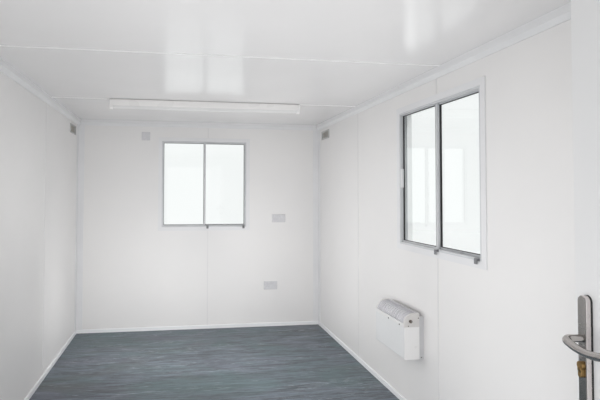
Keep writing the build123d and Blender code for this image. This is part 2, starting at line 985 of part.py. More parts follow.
def hinge_half(plane, sign, knuckles, bore):
    """Plate on one side of the axis, with the knuckles that belong to it."""
    for level in hinge_levels:
        face = plane.offset(-hinge_axis_proud)
        with BuildSketch(face) as profile:
            with Locations((sign * (barrel_radius + barrel_web + hinge_plate_width / 2), level)):
                Rectangle(hinge_plate_width, hinge_height)
        extrude(profile.sketch, amount=hinge_plate_thickness)
        for low, high in knuckles:
            height = (high - low) * knuckle - knuckle_gap
            middle = level - hinge_height / 2 + (low + high) / 2 * knuckle
            with BuildSketch(face) as profile:
                with Locations((sign * (barrel_radius + barrel_web), middle)):
                    Rectangle(2 * (barrel_radius + barrel_web), height)
            extrude(profile.sketch, amount=hinge_plate_thickness)
            base = plane.from_local_coords((0, middle - height / 2, 0))
            with BuildSketch(Plane(origin=base, z_dir=(0, 0, 1))) as profile:
                Circle(barrel_radius)
            extrude(profile.sketch, amount=height)
        base = plane.from_local_coords((0, level - hinge_height / 2, 0))
        with BuildSketch(Plane(origin=base, z_dir=(0, 0, 1))) as profile:
            Circle(hinge_pin_radius + hinge_pin_play if bore else hinge_pin_radius)
        extrude(profile.sketch, amount=hinge_height, mode=Mode.SUBTRACT if bore else Mode.ADD)


jamb_plane = Plane(
    origin=(hinge_x, hinge_y, leaf_bottom), x_dir=(-1, 0, 0), z_dir=(0, 1, 0)
)
with BuildPart() as hinge_jamb_halves:
    hinge_half(jamb_plane, -1, [(0, 1), (2, 3)], bore=False)
save(hinge_jamb_halves, "hinge_jamb_halves")

with BuildPart() as hinge_door_halves:
    hinge_half(door_plane, 1, [(1, 2)], bore=True)
save(hinge_door_halves, "hinge_door_halves")

# Batten light across the ceiling
light_plane = Plane(
    origin=(light_offset_x - light_length / 2, light_offset_y, ceiling_level),
    x_dir=(0, 1, 0),
    z_dir=(1, 0, 0),
)
light_drop = light_body_height + diffuser_height
with BuildPart() as light_body:
    with BuildSketch(light_plane.offset(light_cap_length)):
        Rectangle(light_spine_width, light_gap, align=(Align.CENTER, Align.MAX))
        with Locations((0, -light_gap)):
            Rectangle(light_width, light_body_height - light_gap, align=(Align.CENTER, Align.MAX))
    extrude(amount=light_length - 2 * light_cap_length)
save(light_body, "light_body")

with BuildPart() as light_diffuser:
    with BuildSketch(light_plane.offset(light_cap_length)):
        with BuildLine():
            half = light_width / 2 - diffuser_inset
            top = -light_body_height
            low = top - diffuser_side
            Polyline((-half, low), (-half, top), (half, top), (half, low))
            ThreePointArc((half, low), (0, -light_drop), (-half, low))
        make_face()
    extrude(amount=light_length - 2 * light_cap_length)
save(light_diffuser, "light_diffuser")

with BuildPart() as light_caps:
    for start in (0, light_length - light_cap_length):
        with BuildSketch(light_plane.offset(start)):
            with BuildLine():
                half = light_width / 2 + light_cap_proud
                low = -light_body_height - diffuser_side
                Polyline((-half, low), (-half, -light_gap), (half, -light_gap), (half, low))
                ThreePointArc((half, low), (0, -light_drop - light_cap_proud), (-half, low))
            make_face()
        extrude(amount=light_cap_length)
save(light_caps, "light_caps")

# Wall heater: white case, curved grey grille and grey end caps
heater_plane = Plane(
    origin=(half_width, heater_near_end, floor_top + heater_base),
    x_dir=(-1, 0, 0),
    z_dir=(0, 1, 0),
)
case_front = heater_standoff + heater_depth
case_top = heater_case_height
heater_top = heater_case_height + heater_top_height
with BuildPart() as heater_case:
    with BuildSketch(heater_plane):
        with Locations((heater_standoff, 0)):
            Rectangle(heater_depth, case_top, align=(Align.MIN, Align.MIN))
    extrude(amount=heater_length)
    front_edges = heater_case.edges().filter_by(Axis.Y).group_by(Axis.X)[0]
    fillet(front_edges.sort_by(Axis.Z)[0], heater_corner)
save(heater_case, "heater_case")


def hood_face(inset, mode=Mode.ADD):
    """Hood over the case in section: a flat top that curves down to the front."""
    front = case_front - inset
    top = heater_top - inset
    shoulder = case_top + hood_lip
    crown = heater_standoff + hood_flat
    across = (front - crown) * cos(radians(45))
    up = (top - shoulder) * sin(radians(45))
    with BuildLine() as outline:
        Polyline((crown, top), (heater_standoff, top), (heater_standoff, case_top))
        Polyline((heater_standoff, case_top), (front, case_top), (front, shoulder))
        ThreePointArc((front, shoulder), (crown + across, shoulder + up), (crown, top))
    make_face(outline.edges(), mode=mode)


with BuildPart() as heater_ends:
    for start in (0, heater_length - end_cap_width):
        with BuildSketch(heater_plane.offset(start)):
            hood_face(0)
        extrude(amount=end_cap_width)
    with BuildSketch(heater_plane):
        with Locations((knob_from_wall, case_top + knob_above_case)):
            Circle(knob_radius)
    extrude(amount=-knob_length)
save(heater_ends, "heater_ends")

with BuildPart() as heater_grille:
    grille_length = heater_length - 2 * end_cap_width
    slot_pitch = (grille_length - grille_bar) / grille_slots
    with BuildSketch(heater_plane.offset(end_cap_width)):
        hood_face(grille_inset)
    extrude(amount=grille_length)
    for slot in range(grille_slots):
        start = end_cap_width + grille_bar + slot * slot_pitch
        with BuildSketch(heater_plane.offset(start)):
            hood_face(0)
            hood_face(grille_inset + grille_depth, Mode.SUBTRACT)
            with Locations((0, case_top)):
                Rectangle(case_front, hood_lip, align=(Align.MIN, Align.MIN), mode=Mode.SUBTRACT)
            with Locations((0, heater_top)):
                Rectangle(
                    2 * (heater_standoff + grille_border),
                    2 * heater_top_height,
                    mode=Mode.SUBTRACT,
                )
        extrude(amount=slot_pitch - grille_bar, mode=Mode.SUBTRACT)
save(heater_grille, "heater_grille")

with BuildPart() as heater_brackets:
    for start in (bracket_inset, heater_length - bracket_inset - bracket_width):
        with BuildSketch(heater_plane.offset(start)):
            Rectangle(heater_standoff, heater_top - bracket_drop, align=(Align.MIN, Align.MIN))
        extrude(amount=bracket_width)
save(heater_brackets, "heater_brackets")

# Socket outlets and a blank plate
with BuildPart() as wall_plates:
    for centre, width in (
        (upper_socket, socket_width),
        (lower_socket, socket_width),
        (blank_plate_centre, blank_size),
    ):
        with BuildSketch(rear_face):
            with Locations(centre):
                RectangleRounded(width, socket_height, plate_corner)
        extrude(amount=plate_depth)
    chamfer(wall_plates.faces().group_by(Axis.Y)[0].edges(), plate_bevel)
    for centre in (upper_socket, lower_socket):
        with BuildSketch(rear_face.offset(plate_depth)):
            with Locations((centre[0], centre[1] + outlet_rise)):
                with GridLocations(rocker_spacing, 1, 2, 1):
                    Rectangle(rocker_width, rocker_height)
        extrude(amount=rocker_proud)
        with BuildSketch(rear_face.offset(plate_depth)):
            with Locations((centre[0], centre[1] - outlet_drop)):
                with GridLocations(outlet_spacing, 1, 2, 1):
                    with GridLocations(pin_spacing, 1, 2, 1):
                        Rectangle(pin_width, pin_height)
                    with Locations((0, earth_rise)):
                        Rectangle(earth_width, earth_height)
        extrude(amount=-pin_depth, mode=Mode.SUBTRACT)
save(wall_plates, "wall_plates")

# Louvred vents high on both side walls, with a hole through the lining behind
with BuildPart() as wall_vents:
    blade_pitch = vent_hole[1] / vent_blades
    for face, centre in ((left_face, left_vent_centre), (right_face, right_vent_centre)):
        ring(face, centre, (vent_width, vent_height), vent_hole, 0, vent_depth)
        side_on = Plane(
            origin=face.from_local_coords((centre[0] + vent_hole[0] / 2, centre[1], vent_depth / 2)),
            x_dir=face.z_dir,
            z_dir=-face.x_dir,
        )
        with BuildSketch(side_on) as profile:
            with GridLocations(1, blade_pitch, 1, vent_blades):
                Rectangle(vent_blade_thickness, vent_blade_height, rotation=vent_blade_tilt)
        extrude(profile.sketch, amount=vent_hole[0])
save(wall_vents, "wall_vents")

# Roof sheet with ribs across it, falling from a ridge to both sides
roof_half = outer_x - roof_edge_margin
roof_tilt = atan2(roof_fall, roof_half)
slope_length = roof_half / cos(roof_tilt)
roof_run = 2 * (outer_y - roof_edge_margin)
roof_rib_count = int((roof_run - 2 * rib_end_margin - roof_rib_foot) // roof_rib_pitch) + 1
with BuildPart() as roof_sheet:
    for side in (-1, 1):
        slope_plane = Plane(
            origin=(0, 0, roof_level + roof_fall),
            x_dir=(0, 1, 0),
            z_dir=(side * cos(roof_tilt), 0, -sin(roof_tilt)),
        )
        with BuildSketch(slope_plane.offset(ridge_gap)):
            with Locations((0, side * roof_sheet_thickness / 2)):
                Rectangle(roof_run, roof_sheet_thickness)
            with Locations((0, side * (roof_sheet_thickness + roof_rib_height / 2))):
                with GridLocations(roof_rib_pitch, 1, roof_rib_count, 1):
                    Trapezoid(
                        roof_rib_foot, roof_rib_height, rib_angle, rotation=0 if side > 0 else 180
                    )
        extrude(amount=slope_length - ridge_gap)
    with BuildSketch(Plane.XY.offset(roof_level)):
        with GridLocations(2 * outer_x - post_size, 2 * outer_y - post_size, 2, 2):
            Rectangle(post_size, post_size)
    extrude(amount=2 * roof_fall, mode=Mode.SUBTRACT)
save(roof_sheet, "roof_sheet")

cap_level = roof_level + roof_fall + (roof_sheet_thickness + roof_rib_height) / cos(roof_tilt)
cap_drop = ridge_cap_width / 2 * tan(roof_tilt)
with BuildPart() as ridge_cap:
    with BuildSketch(Plane.XZ.offset(-roof_run / 2)):
        with BuildLine():
            Polyline(
                (0, cap_level),
                (ridge_cap_width / 2, cap_level - cap_drop),
                (ridge_cap_width / 2, cap_level - cap_drop + roof_sheet_thickness),
                (0, cap_level + roof_sheet_thickness),
                (-ridge_cap_width / 2, cap_level - cap_drop + roof_sheet_thickness),
                (-ridge_cap_width / 2, cap_level - cap_drop),
                close=True,
            )
        make_face()
    extrude(amount=roof_run)
save(ridge_cap, "ridge_cap")

gable_edge = roof_fall * (1 - core_inner_x / roof_half)
with BuildPart() as roof_gables:
    for start in (roof_run / 2 - gable_thickness, -roof_run / 2):
        with BuildSketch(Plane.XZ.offset(start)):
            with BuildLine():
                Polyline(
                    (-core_inner_x, roof_level),
                    (core_inner_x, roof_level),
                    (core_inner_x, roof_level + gable_edge),
                    (0, roof_level + roof_fall),
                    (-core_inner_x, roof_level + gable_edge),
                    close=True,
                )
            make_face()
        extrude(amount=gable_thickness)
save(roof_gables, "roof_gables")

# Lifting eyes on the corner posts
with BuildPart() as lifting_eyes:
    for x_side in (-1, 1):
        for y_side in (-1, 1):
            centre = (x_side * (outer_x - post_size / 2), y_side * (outer_y - post_size / 2))
            eye_plane = Plane(
                origin=(centre[0] + eye_thickness / 2, centre[1], roof_level),
                x_dir=(0, -1, 0),
                z_dir=(-1, 0, 0),
            )
            with BuildSketch(eye_plane):
                Rectangle(eye_width, eye_hole_height, align=(Align.CENTER, Align.MIN))
                with Locations((0, eye_hole_height)):
                    Circle(eye_width / 2)
                    Circle(eye_hole_radius, mode=Mode.SUBTRACT)
            extrude(amount=eye_thickness)
save(lifting_eyes, "lifting_eyes")
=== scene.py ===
import json
from math import cos, radians, sin

import bmesh
import bpy
from mathutils import Matrix, Vector


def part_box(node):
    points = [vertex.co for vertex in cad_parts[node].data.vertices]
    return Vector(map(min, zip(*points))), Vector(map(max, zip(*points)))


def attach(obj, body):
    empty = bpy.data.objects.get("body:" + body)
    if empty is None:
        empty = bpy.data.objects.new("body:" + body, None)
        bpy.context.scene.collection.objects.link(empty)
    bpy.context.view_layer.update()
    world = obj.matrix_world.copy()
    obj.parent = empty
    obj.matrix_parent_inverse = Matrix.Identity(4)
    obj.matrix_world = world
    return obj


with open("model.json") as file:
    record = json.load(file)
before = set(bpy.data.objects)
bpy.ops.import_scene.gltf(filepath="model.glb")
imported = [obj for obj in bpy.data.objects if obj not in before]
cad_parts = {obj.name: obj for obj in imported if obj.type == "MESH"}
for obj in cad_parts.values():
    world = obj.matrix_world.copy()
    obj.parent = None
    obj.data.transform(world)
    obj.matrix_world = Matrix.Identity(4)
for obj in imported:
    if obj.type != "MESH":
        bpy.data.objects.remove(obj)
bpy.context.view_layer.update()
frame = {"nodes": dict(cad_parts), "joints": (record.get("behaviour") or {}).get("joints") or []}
cadNodes = frame["nodes"]
print("cabin frame loaded")

# Camera just inside the doorway: place in metres, angles in degrees, lens and film in millimetres
camera = {
    "place": (-0.270, -2.5025, 1.627),
    "pitch": 91.59,
    "roll": -0.17,
    "turn": -8.38,
    "lens": 28.358,
    "filmWidth": 36,
    "shift": (0.0892, -0.0328),
    "nearest": 0.02,
    "farthest": 200,
}
viewData = bpy.data.cameras.new("doorwayCamera")
viewData.lens = camera["lens"]
viewData.sensor_width = camera["filmWidth"]
viewData.shift_x, viewData.shift_y = camera["shift"]
viewData.clip_start = camera["nearest"]
viewData.clip_end = camera["farthest"]
viewer = bpy.data.objects.new("doorwayCamera", viewData)
viewer.location = camera["place"]
viewer.rotation_euler = (radians(camera["pitch"]), radians(camera["roll"]), radians(camera["turn"]))
bpy.context.scene.collection.objects.link(viewer)
bpy.context.scene.camera = viewer
print("camera placed")


# Building blocks of the finishes
def addNode(finish, kind, **settings):
    node = finish.node_tree.nodes.new(kind)
    for name, value in settings.items():
        setattr(node, name, value)
    return node


def join(finish, out, into):
    finish.node_tree.links.new(out, into)


def startFinish(name, roughness, metallic=0.0, specular=0.5):
    finish = bpy.data.materials.new(name)
    finish.use_nodes = True
    shader = finish.node_tree.nodes["Principled BSDF"]
    shader.inputs["Roughness"].default_value = roughness
    shader.inputs["Metallic"].default_value = metallic
    shader.inputs["Specular IOR Level"].default_value = specular
    return finish, shader


def placed(finish, stretch=(1, 1, 1), slide=(0, 0, 0)):
    coords = addNode(finish, "ShaderNodeTexCoord")
    mapping = addNode(finish, "ShaderNodeMapping")
    mapping.inputs["Scale"].default_value = stretch
    mapping.inputs["Location"].default_value = slide
    join(finish, coords.outputs["Object"], mapping.inputs["Vector"])
    return mapping.outputs["Vector"]


def mottle(finish, vector, grain, detail, rough=0.5, twist=0.0):
    noise = addNode(finish, "ShaderNodeTexNoise")
    noise.inputs["Scale"].default_value = 1 / grain  # grain is the size of a patch in metres
    noise.inputs["Detail"].default_value = detail
    noise.inputs["Roughness"].default_value = rough
    noise.inputs["Distortion"].default_value = twist
    join(finish, vector, noise.inputs["Vector"])
    return noise.outputs["Fac"]


def widen(finish, pattern, span, into=(0.0, 1.0)):
    # the part of the pattern's values named by span is stretched to fill into
    reach = addNode(finish, "ShaderNodeMapRange")
    for name, number in zip(("From Min", "From Max", "To Min", "To Max"), (*span, *into)):
        reach.inputs[name].default_value = number
    join(finish, pattern, reach.inputs["Value"])
    return reach.outputs["Result"]


def combine(finish, how, first, second):
    maths = addNode(finish, "ShaderNodeMath", operation=how)
    for socket, value in zip(maths.inputs, (first, second)):
        if isinstance(value, (int, float)):
            socket.default_value = value
        else:
            join(finish, value, socket)
    return maths.outputs["Value"]


def tint(finish, share, first, second):
    mixer = addNode(finish, "ShaderNodeMix", data_type="RGBA")
    join(finish, share, mixer.inputs["Factor"])
    for name, colour in (("A", first), ("B", second)):
        socket = [s for s in mixer.inputs if s.name == name and s.type == "RGBA"][0]
        if isinstance(colour, tuple):
            socket.default_value = (*colour, 1)
        else:
            join(finish, colour, socket)
    return [s for s in mixer.outputs if s.type == "RGBA"][0]


def varyRoughness(finish, shader, pattern, span, into):
    join(finish, widen(finish, pattern, span, into), shader.inputs["Roughness"])


def relief(finish, shader, height, depth):
    bump = addNode(finish, "ShaderNodeBump")
    bump.inputs["Distance"].default_value = depth
    join(finish, height, bump.inputs["Height"])
    join(finish, bump.outputs["Normal"], shader.inputs["Normal"])


def heightAbove(finish, low, high):
    coords = addNode(finish, "ShaderNodeTexCoord")
    parts = addNode(finish, "ShaderNodeSeparateXYZ")
    join(finish, coords.outputs["Object"], parts.inputs["Vector"])
    return widen(finish, parts.outputs["Z"], (low, high))


# Painted and plastic finishes: soft patches of colour and gloss over a fine surface grain
middleSpan = (0.3, 0.7)
paintMarks = {
    "patchDetail": 4,
    "patchSpan": (0.35, 0.7),
    "glossPatch": 0.4,  # share of a colour patch's size
    "glossSpread": 0.05,
    "fineDetail": 2,
}
splashes = {"stretch": (1, 1, 0.12), "detail": 6, "rough": 0.62, "span": (0.42, 0.72)}


def soiled(finish, colour, soil):
    # dust and splashes that thin out upwards
    runs = placed(finish, splashes["stretch"])
    drips = mottle(finish, runs, soil["grain"], splashes["detail"], splashes["rough"])
    fade = heightAbove(finish, soil["top"], soil["bottom"])
    share = combine(finish, "MULTIPLY", widen(finish, drips, splashes["span"]), fade)
    share = combine(finish, "MULTIPLY", share, soil["amount"])
    return tint(finish, share, colour, soil["colour"])


def paintedFinish(name, look):
    finish, shader = startFinish(name, look["roughness"], specular=look.get("specular", 0.5))
    shader.inputs["Coat Weight"].default_value = look.get("coat", 0.0)
    patches = mottle(finish, placed(finish), look["patch"], paintMarks["patchDetail"])
    colour = tint(finish, widen(finish, patches, paintMarks["patchSpan"]), look["colour"], look["shade"])
    if "soil" in look:
        colour = soiled(finish, colour, look["soil"])
    join(finish, colour, shader.inputs["Base Color"])
    gloss = mottle(finish, placed(finish), look["patch"] * paintMarks["glossPatch"], paintMarks["fineDetail"])
    spread = look.get("glossSpread", paintMarks["glossSpread"])
    varyRoughness(finish, shader, gloss, middleSpan, (look["roughness"] - spread, look["roughness"] + spread))
    surface = placed(finish, look.get("peelStretch", (1, 1, 1)))
    peel = mottle(finish, surface, look["peel"], paintMarks["fineDetail"])
    relief(finish, shader, peel, look["peelDepth"])
    return finish


paints = {
    "liningBoard": {
        "colour": (0.81, 0.798, 0.790),
        "shade": (0.78, 0.77, 0.766),
        "roughness": 0.42,
        "patch": 0.8,
        "peel": 0.003,
        "peelDepth": 0.00003,
    },
    "ceilingBoard": {
        "colour": (0.808, 0.797, 0.797),
        "shade": (0.788, 0.777, 0.777),
        "roughness": 0.19,
        "glossSpread": 0.02,
        "patch": 0.7,
        "peel": 0.02,
        "peelDepth": 0.00004,
    },
    "whiteTrim": {
        "colour": (0.78, 0.78, 0.79),
        "shade": (0.74, 0.74, 0.75),
        "roughness": 0.35,
        "patch": 0.3,
        "peel": 0.006,
        "peelDepth": 0.00003,
    },
    # a lighter copy of the white trim: painted light that lifts the skirting out of its shade by the floor
    "skirtingTrim": {
        "colour": (0.86, 0.865, 0.875),
        "shade": (0.83, 0.835, 0.85),
        "roughness": 0.35,
        "patch": 0.3,
        "peel": 0.006,
        "peelDepth": 0.00003,
    },
    "whiteSheet": {
        "colour": (0.78, 0.79, 0.79),
        "shade": (0.73, 0.74, 0.74),
        "roughness": 0.38,
        "patch": 0.6,
        "peel": 0.004,
        "peelDepth": 0.00005,
        "soil": {"colour": (0.36, 0.34, 0.30), "grain": 0.05, "top": 1.3, "bottom": 0.1, "amount": 0.35},
    },
    "whiteRoof": {
        "colour": (0.74, 0.75, 0.75),
        "shade": (0.66, 0.67, 0.66),
        "roughness": 0.45,
        "patch": 0.5,
        "peel": 0.004,
        "peelDepth": 0.00005,
    },
    "greenSteel": {
        "colour": (0.035, 0.30, 0.10),
        "shade": (0.03, 0.25, 0.085),
        "roughness": 0.36,
        "patch": 0.4,
        "peel": 0.004,
        "peelDepth": 0.00006,
        "soil": {"colour": (0.22, 0.20, 0.16), "grain": 0.04, "top": 0.7, "bottom": 0.0, "amount": 0.5},
    },
    "insulatedCore": {
        "colour": (0.62, 0.55, 0.40),
        "shade": (0.55, 0.48, 0.34),
        "roughness": 0.8,
        "patch": 0.1,
        "peel": 0.004,
        "peelDepth": 0.0002,
    },
    "doorPaint": {
        "colour": (0.82, 0.82, 0.82),
        "shade": (0.79, 0.79, 0.795),
        "roughness": 0.34,
        "patch": 0.5,
        "peel": 0.003,
        "peelDepth": 0.00003,
    },
    "windowAluminium": {
        "colour": (0.62, 0.63, 0.645),
        "shade": (0.56, 0.57, 0.585),
        "roughness": 0.33,
        "patch": 0.12,
        "peel": 0.0012,
        "peelDepth": 0.00002,
        "peelStretch": (0.15, 0.15, 1),
    },
    "heaterPaint": {
        "colour": (0.78, 0.78, 0.775),
        "shade": (0.75, 0.75, 0.745),
        "roughness": 0.32,
        "patch": 0.2,
        "peel": 0.002,
        "peelDepth": 0.00003,
    },
    "heaterCap": {
        "colour": (0.69, 0.67, 0.655),
        "shade": (0.65, 0.63, 0.615),
        "roughness": 0.38,
        "patch": 0.06,
        "peel": 0.0015,
        "peelDepth": 0.00003,
    },
    "heaterGrille": {
        "colour": (0.63, 0.625, 0.65),
        "shade": (0.57, 0.565, 0.59),
        "roughness": 0.45,
        "patch": 0.08,
        "peel": 0.0015,
        "peelDepth": 0.00004,
    },
    "lightBody": {
        "colour": (0.86, 0.85, 0.84),
        "shade": (0.83, 0.82, 0.81),
        "roughness": 0.3,
        "patch": 0.3,
        "peel": 0.003,
        "peelDepth": 0.00002,
    },
    "lightDiffuser": {
        "colour": (0.79, 0.785, 0.78),
        "shade": (0.77, 0.765, 0.76),
        "roughness": 0.10,
        "glossSpread": 0.02,
        "coat": 1.0,
        "patch": 0.3,
        "peel": 0.004,
        "peelDepth": 0.00003,
        "peelStretch": (0.1, 1, 1),
    },
    "outletPlate": {
        "colour": (0.66, 0.655, 0.675),
        "shade": (0.63, 0.625, 0.645),
        "roughness": 0.25,
        "patch": 0.05,
        "peel": 0.001,
        "peelDepth": 0.00001,
    },
    "sealRubberAndPaintedShade": {
        "colour": (0.022, 0.022, 0.023),
        "shade": (0.035, 0.035, 0.036),
        "roughness": 0.6,
        "patch": 0.03,
        "peel": 0.001,
        "peelDepth": 0.00004,
    },
    "bracketPaint": {
        "colour": (0.60, 0.60, 0.61),
        "shade": (0.55, 0.55, 0.56),
        "roughness": 0.4,
        "patch": 0.05,
        "peel": 0.002,
        "peelDepth": 0.00003,
    },
    # a lighter copy of the white trim: painted light for the window reveals, which sit in shade
    "revealPaint": {
        "colour": (0.88, 0.88, 0.88),
        "shade": (0.85, 0.85, 0.85),
        "roughness": 0.35,
        "patch": 0.3,
        "peel": 0.006,
        "peelDepth": 0.00003,
    },
    "darkScrew": {
        "colour": (0.06, 0.055, 0.05),
        "shade": (0.10, 0.09, 0.08),
        "roughness": 0.35,
        "specular": 0.6,
        "patch": 0.004,
        "peel": 0.0008,
        "peelDepth": 0.00002,
    },
    "knobBrown": {
        "colour": (0.12, 0.095, 0.08),
        "shade": (0.16, 0.13, 0.11),
        "roughness": 0.4,
        "patch": 0.008,
        "peel": 0.0008,
        "peelDepth": 0.00003,
    },
    "ventGrey": {
        "colour": (0.55, 0.55, 0.54),
        "shade": (0.48, 0.48, 0.47),
        "roughness": 0.4,
        "patch": 0.05,
        "peel": 0.002,
        "peelDepth": 0.00003,
    },
}
finishes = {name: paintedFinish(name, look) for name, look in paints.items()}
print("painted finishes made")

# Floor sheet: streaks that run across the room, clouds of other greys, pale veins and dark seams
vinyl = {
    "charcoal": (0.068, 0.080, 0.094),
    "slate": (0.168, 0.199, 0.234),
    "greenGrey": (0.108, 0.173, 0.177),
    "violetGrey": (0.150, 0.154, 0.198),
    "brownGrey": (0.117, 0.121, 0.121),
    "paleVein": (0.36, 0.40, 0.42),
    "darkVein": (0.034, 0.040, 0.048),
    "streakLength": 0.26,
    "streakWidth": 0.026,
    "streakDetail": 7,
    "streakRough": 0.72,
    "main": {"widths": 1.6, "slide": (0, 0, 0), "twist": 1.2},
    "fine": {"widths": 0.45, "slide": (5, 1, 0), "twist": 0.8},
    "broad": {"widths": 5, "slide": (3, 7, 0), "twist": 0.8},
    "mainSpan": (0.40, 0.60),
    "veinSpans": {"fine": (0.52, 0.64), "broad": (0.48, 0.58)},
    "seamSpans": {"fine": (0.47, 0.37), "broad": (0.50, 0.40)},
    "cloudStarts": {"greenGrey": 0.45, "violetGrey": 0.53, "brownGrey": 0.54},
    "cloudSlides": {"greenGrey": (4, 1, 0), "violetGrey": (9, 5, 0), "brownGrey": (2, 8, 0)},
    "cloud": {"stretch": (0.45, 1, 1), "size": 0.42, "detail": 6, "rough": 0.6, "twist": 0.8},
    "cloudFade": 0.16,
    "cloudAmount": 0.55,
    "roughness": 0.42,
    "smoother": 0.06,
    "rougher": 0.08,
    "specular": 0.3,
    "grain": {"stretch": (0.3, 1, 1), "size": 0.002, "detail": 3, "depth": 0.00008},
}


def streaks(finish, look, kind):
    stretch = (look["streakWidth"] / look["streakLength"], 1, 1)
    vector = placed(finish, stretch, look[kind]["slide"])
    width = look["streakWidth"] * look[kind]["widths"]
    return mottle(finish, vector, width, look["streakDetail"], look["streakRough"], look[kind]["twist"])


def clouded(finish, look, colour):
    cloud = look["cloud"]
    for name, start in look["cloudStarts"].items():
        vector = placed(finish, cloud["stretch"], look["cloudSlides"][name])
        shape = mottle(finish, vector, cloud["size"], cloud["detail"], cloud["rough"], cloud["twist"])
        share = widen(finish, shape, (start, start + look["cloudFade"]), (0, look["cloudAmount"]))
        colour = tint(finish, share, colour, look[name])
    return colour


def vinylFinish(look):
    finish, shader = startFinish("streakedVinyl", look["roughness"], specular=look["specular"])
    main = widen(finish, streaks(finish, look, "main"), look["mainSpan"])
    colour = clouded(finish, look, tint(finish, main, look["charcoal"], look["slate"]))
    fine = streaks(finish, look, "fine")
    broad = streaks(finish, look, "broad")
    for spans, veinColour in ((look["veinSpans"], look["paleVein"]), (look["seamSpans"], look["darkVein"])):
        fineShare = widen(finish, fine, spans["fine"])
        share = combine(finish, "MULTIPLY", fineShare, widen(finish, broad, spans["broad"]))
        colour = tint(finish, share, colour, veinColour)
    join(finish, colour, shader.inputs["Base Color"])
    glossRange = (look["roughness"] - look["smoother"], look["roughness"] + look["rougher"])
    varyRoughness(finish, shader, broad, middleSpan, glossRange)
    grain = look["grain"]
    pits = mottle(finish, placed(finish, grain["stretch"]), grain["size"], grain["detail"])
    relief(finish, shader, pits, grain["depth"])
    return finish


finishes["streakedVinyl"] = vinylFinish(vinyl)

# Bare metals: fine lines of brushing under duller marks
brushing = {
    "lineDetail": 3,
    "lineRough": 0.6,
    "markDetail": 4,
    "markSpan": (0.55, 0.8),
    "markAmount": 0.5,
    "smoother": 0.06,
    "rougher": 0.1,
}


def brushLines(finish, look):
    vector = placed(finish, look["along"])
    return mottle(finish, vector, look["line"], brushing["lineDetail"], brushing["lineRough"])


def brushedFinish(name, look):
    finish, shader = startFinish(name, look["roughness"], metallic=look["metallic"])
    lines = brushLines(finish, look)
    marks = mottle(finish, placed(finish), look["mark"], brushing["markDetail"])
    colour = tint(finish, widen(finish, lines, middleSpan), look["colour"], look["shade"])
    stained = widen(finish, marks, brushing["markSpan"], (0, brushing["markAmount"]))
    join(finish, tint(finish, stained, colour, look["stain"]), shader.inputs["Base Color"])
    glossRange = (look["roughness"] - brushing["smoother"], look["roughness"] + brushing["rougher"])
    varyRoughness(finish, shader, marks, middleSpan, glossRange)
    relief(finish, shader, lines, look["depth"])
    return finish


metals = {
    "stainless": {
        "colour": (0.50, 0.475, 0.455),
        "shade": (0.43, 0.41, 0.39),
        "stain": (0.36, 0.33, 0.30),
        "metallic": 1.0,
        "roughness": 0.24,
        "along": (1, 1, 0.04),
        "line": 0.0008,
        "mark": 0.03,
        "depth": 0.000003,
    },
    "polishedSteel": {
        "colour": (0.60, 0.57, 0.55),
        "shade": (0.53, 0.50, 0.48),
        "stain": (0.42, 0.40, 0.37),
        "metallic": 1.0,
        "roughness": 0.17,
        "along": (1, 1, 0.04),
        "line": 0.0008,
        "mark": 0.03,
        "depth": 0.000002,
    },
    "brass": {
        "colour": (0.55, 0.36, 0.15),
        "shade": (0.46, 0.29, 0.12),
        "stain": (0.30, 0.17, 0.07),
        "metallic": 1.0,
        "roughness": 0.3,
        "along": (1, 0.1, 1),
        "line": 0.0006,
        "mark": 0.01,
        "depth": 0.00001,
    },
    "hookGrey": {
        "colour": (0.30, 0.30, 0.31),
        "shade": (0.24, 0.24, 0.25),
        "stain": (0.16, 0.16, 0.16),
        "metallic": 0.6,
        "roughness": 0.4,
        "along": (1, 1, 1),
        "line": 0.001,
        "mark": 0.01,
        "depth": 0.00002,
    },
}
for name, look in metals.items():
    finishes[name] = brushedFinish(name, look)

# Zinc: crystals of two greys with dull patches over them
zinc = {
    "bright": (0.56, 0.57, 0.58),
    "dark": (0.44, 0.45, 0.46),
    "dull": (0.36, 0.35, 0.33),
    "metallic": 0.8,
    "roughness": 0.45,
    "glossRange": (0.35, 0.6),
    "crystalsPerMetre": 90,
    "crystalSpan": (0.0, 0.7),
    "dullPatch": 0.15,
    "dullDetail": 4,
    "dullSpan": (0.45, 0.75),
    "dullAmount": 0.6,
    "grain": 0.004,
    "grainDetail": 2,
    "grainDepth": 0.00005,
}


def zincFinish(look):
    finish, shader = startFinish("galvanised", look["roughness"], metallic=look["metallic"])
    crystals = addNode(finish, "ShaderNodeTexVoronoi")
    crystals.inputs["Scale"].default_value = look["crystalsPerMetre"]
    join(finish, placed(finish), crystals.inputs["Vector"])
    shade = widen(finish, crystals.outputs["Distance"], look["crystalSpan"])
    colour = tint(finish, shade, look["bright"], look["dark"])
    dulled = mottle(finish, placed(finish), look["dullPatch"], look["dullDetail"])
    share = widen(finish, dulled, look["dullSpan"], (0, look["dullAmount"]))
    join(finish, tint(finish, share, colour, look["dull"]), shader.inputs["Base Color"])
    varyRoughness(finish, shader, dulled, middleSpan, look["glossRange"])
    grain = mottle(finish, placed(finish), look["grain"], look["grainDetail"])
    relief(finish, shader, grain, look["grainDepth"])
    return finish


# Floor deck: long grain of two browns
ply = {
    "pale": (0.50, 0.36, 0.21),
    "dark": (0.36, 0.24, 0.13),
    "roughness": 0.7,
    "stretch": (12, 0.7, 12),
    "grain": 0.12,
    "detail": 6,
    "grainRough": 0.6,
    "twist": 1.2,
    "depth": 0.0003,
}


def plyFinish(look):
    finish, shader = startFinish("deckPly", look["roughness"])
    vector = placed(finish, look["stretch"])
    grain = mottle(finish, vector, look["grain"], look["detail"], look["grainRough"], look["twist"])
    colour = tint(finish, widen(finish, grain, middleSpan), look["pale"], look["dark"])
    join(finish, colour, shader.inputs["Base Color"])
    relief(finish, shader, grain, look["depth"])
    return finish


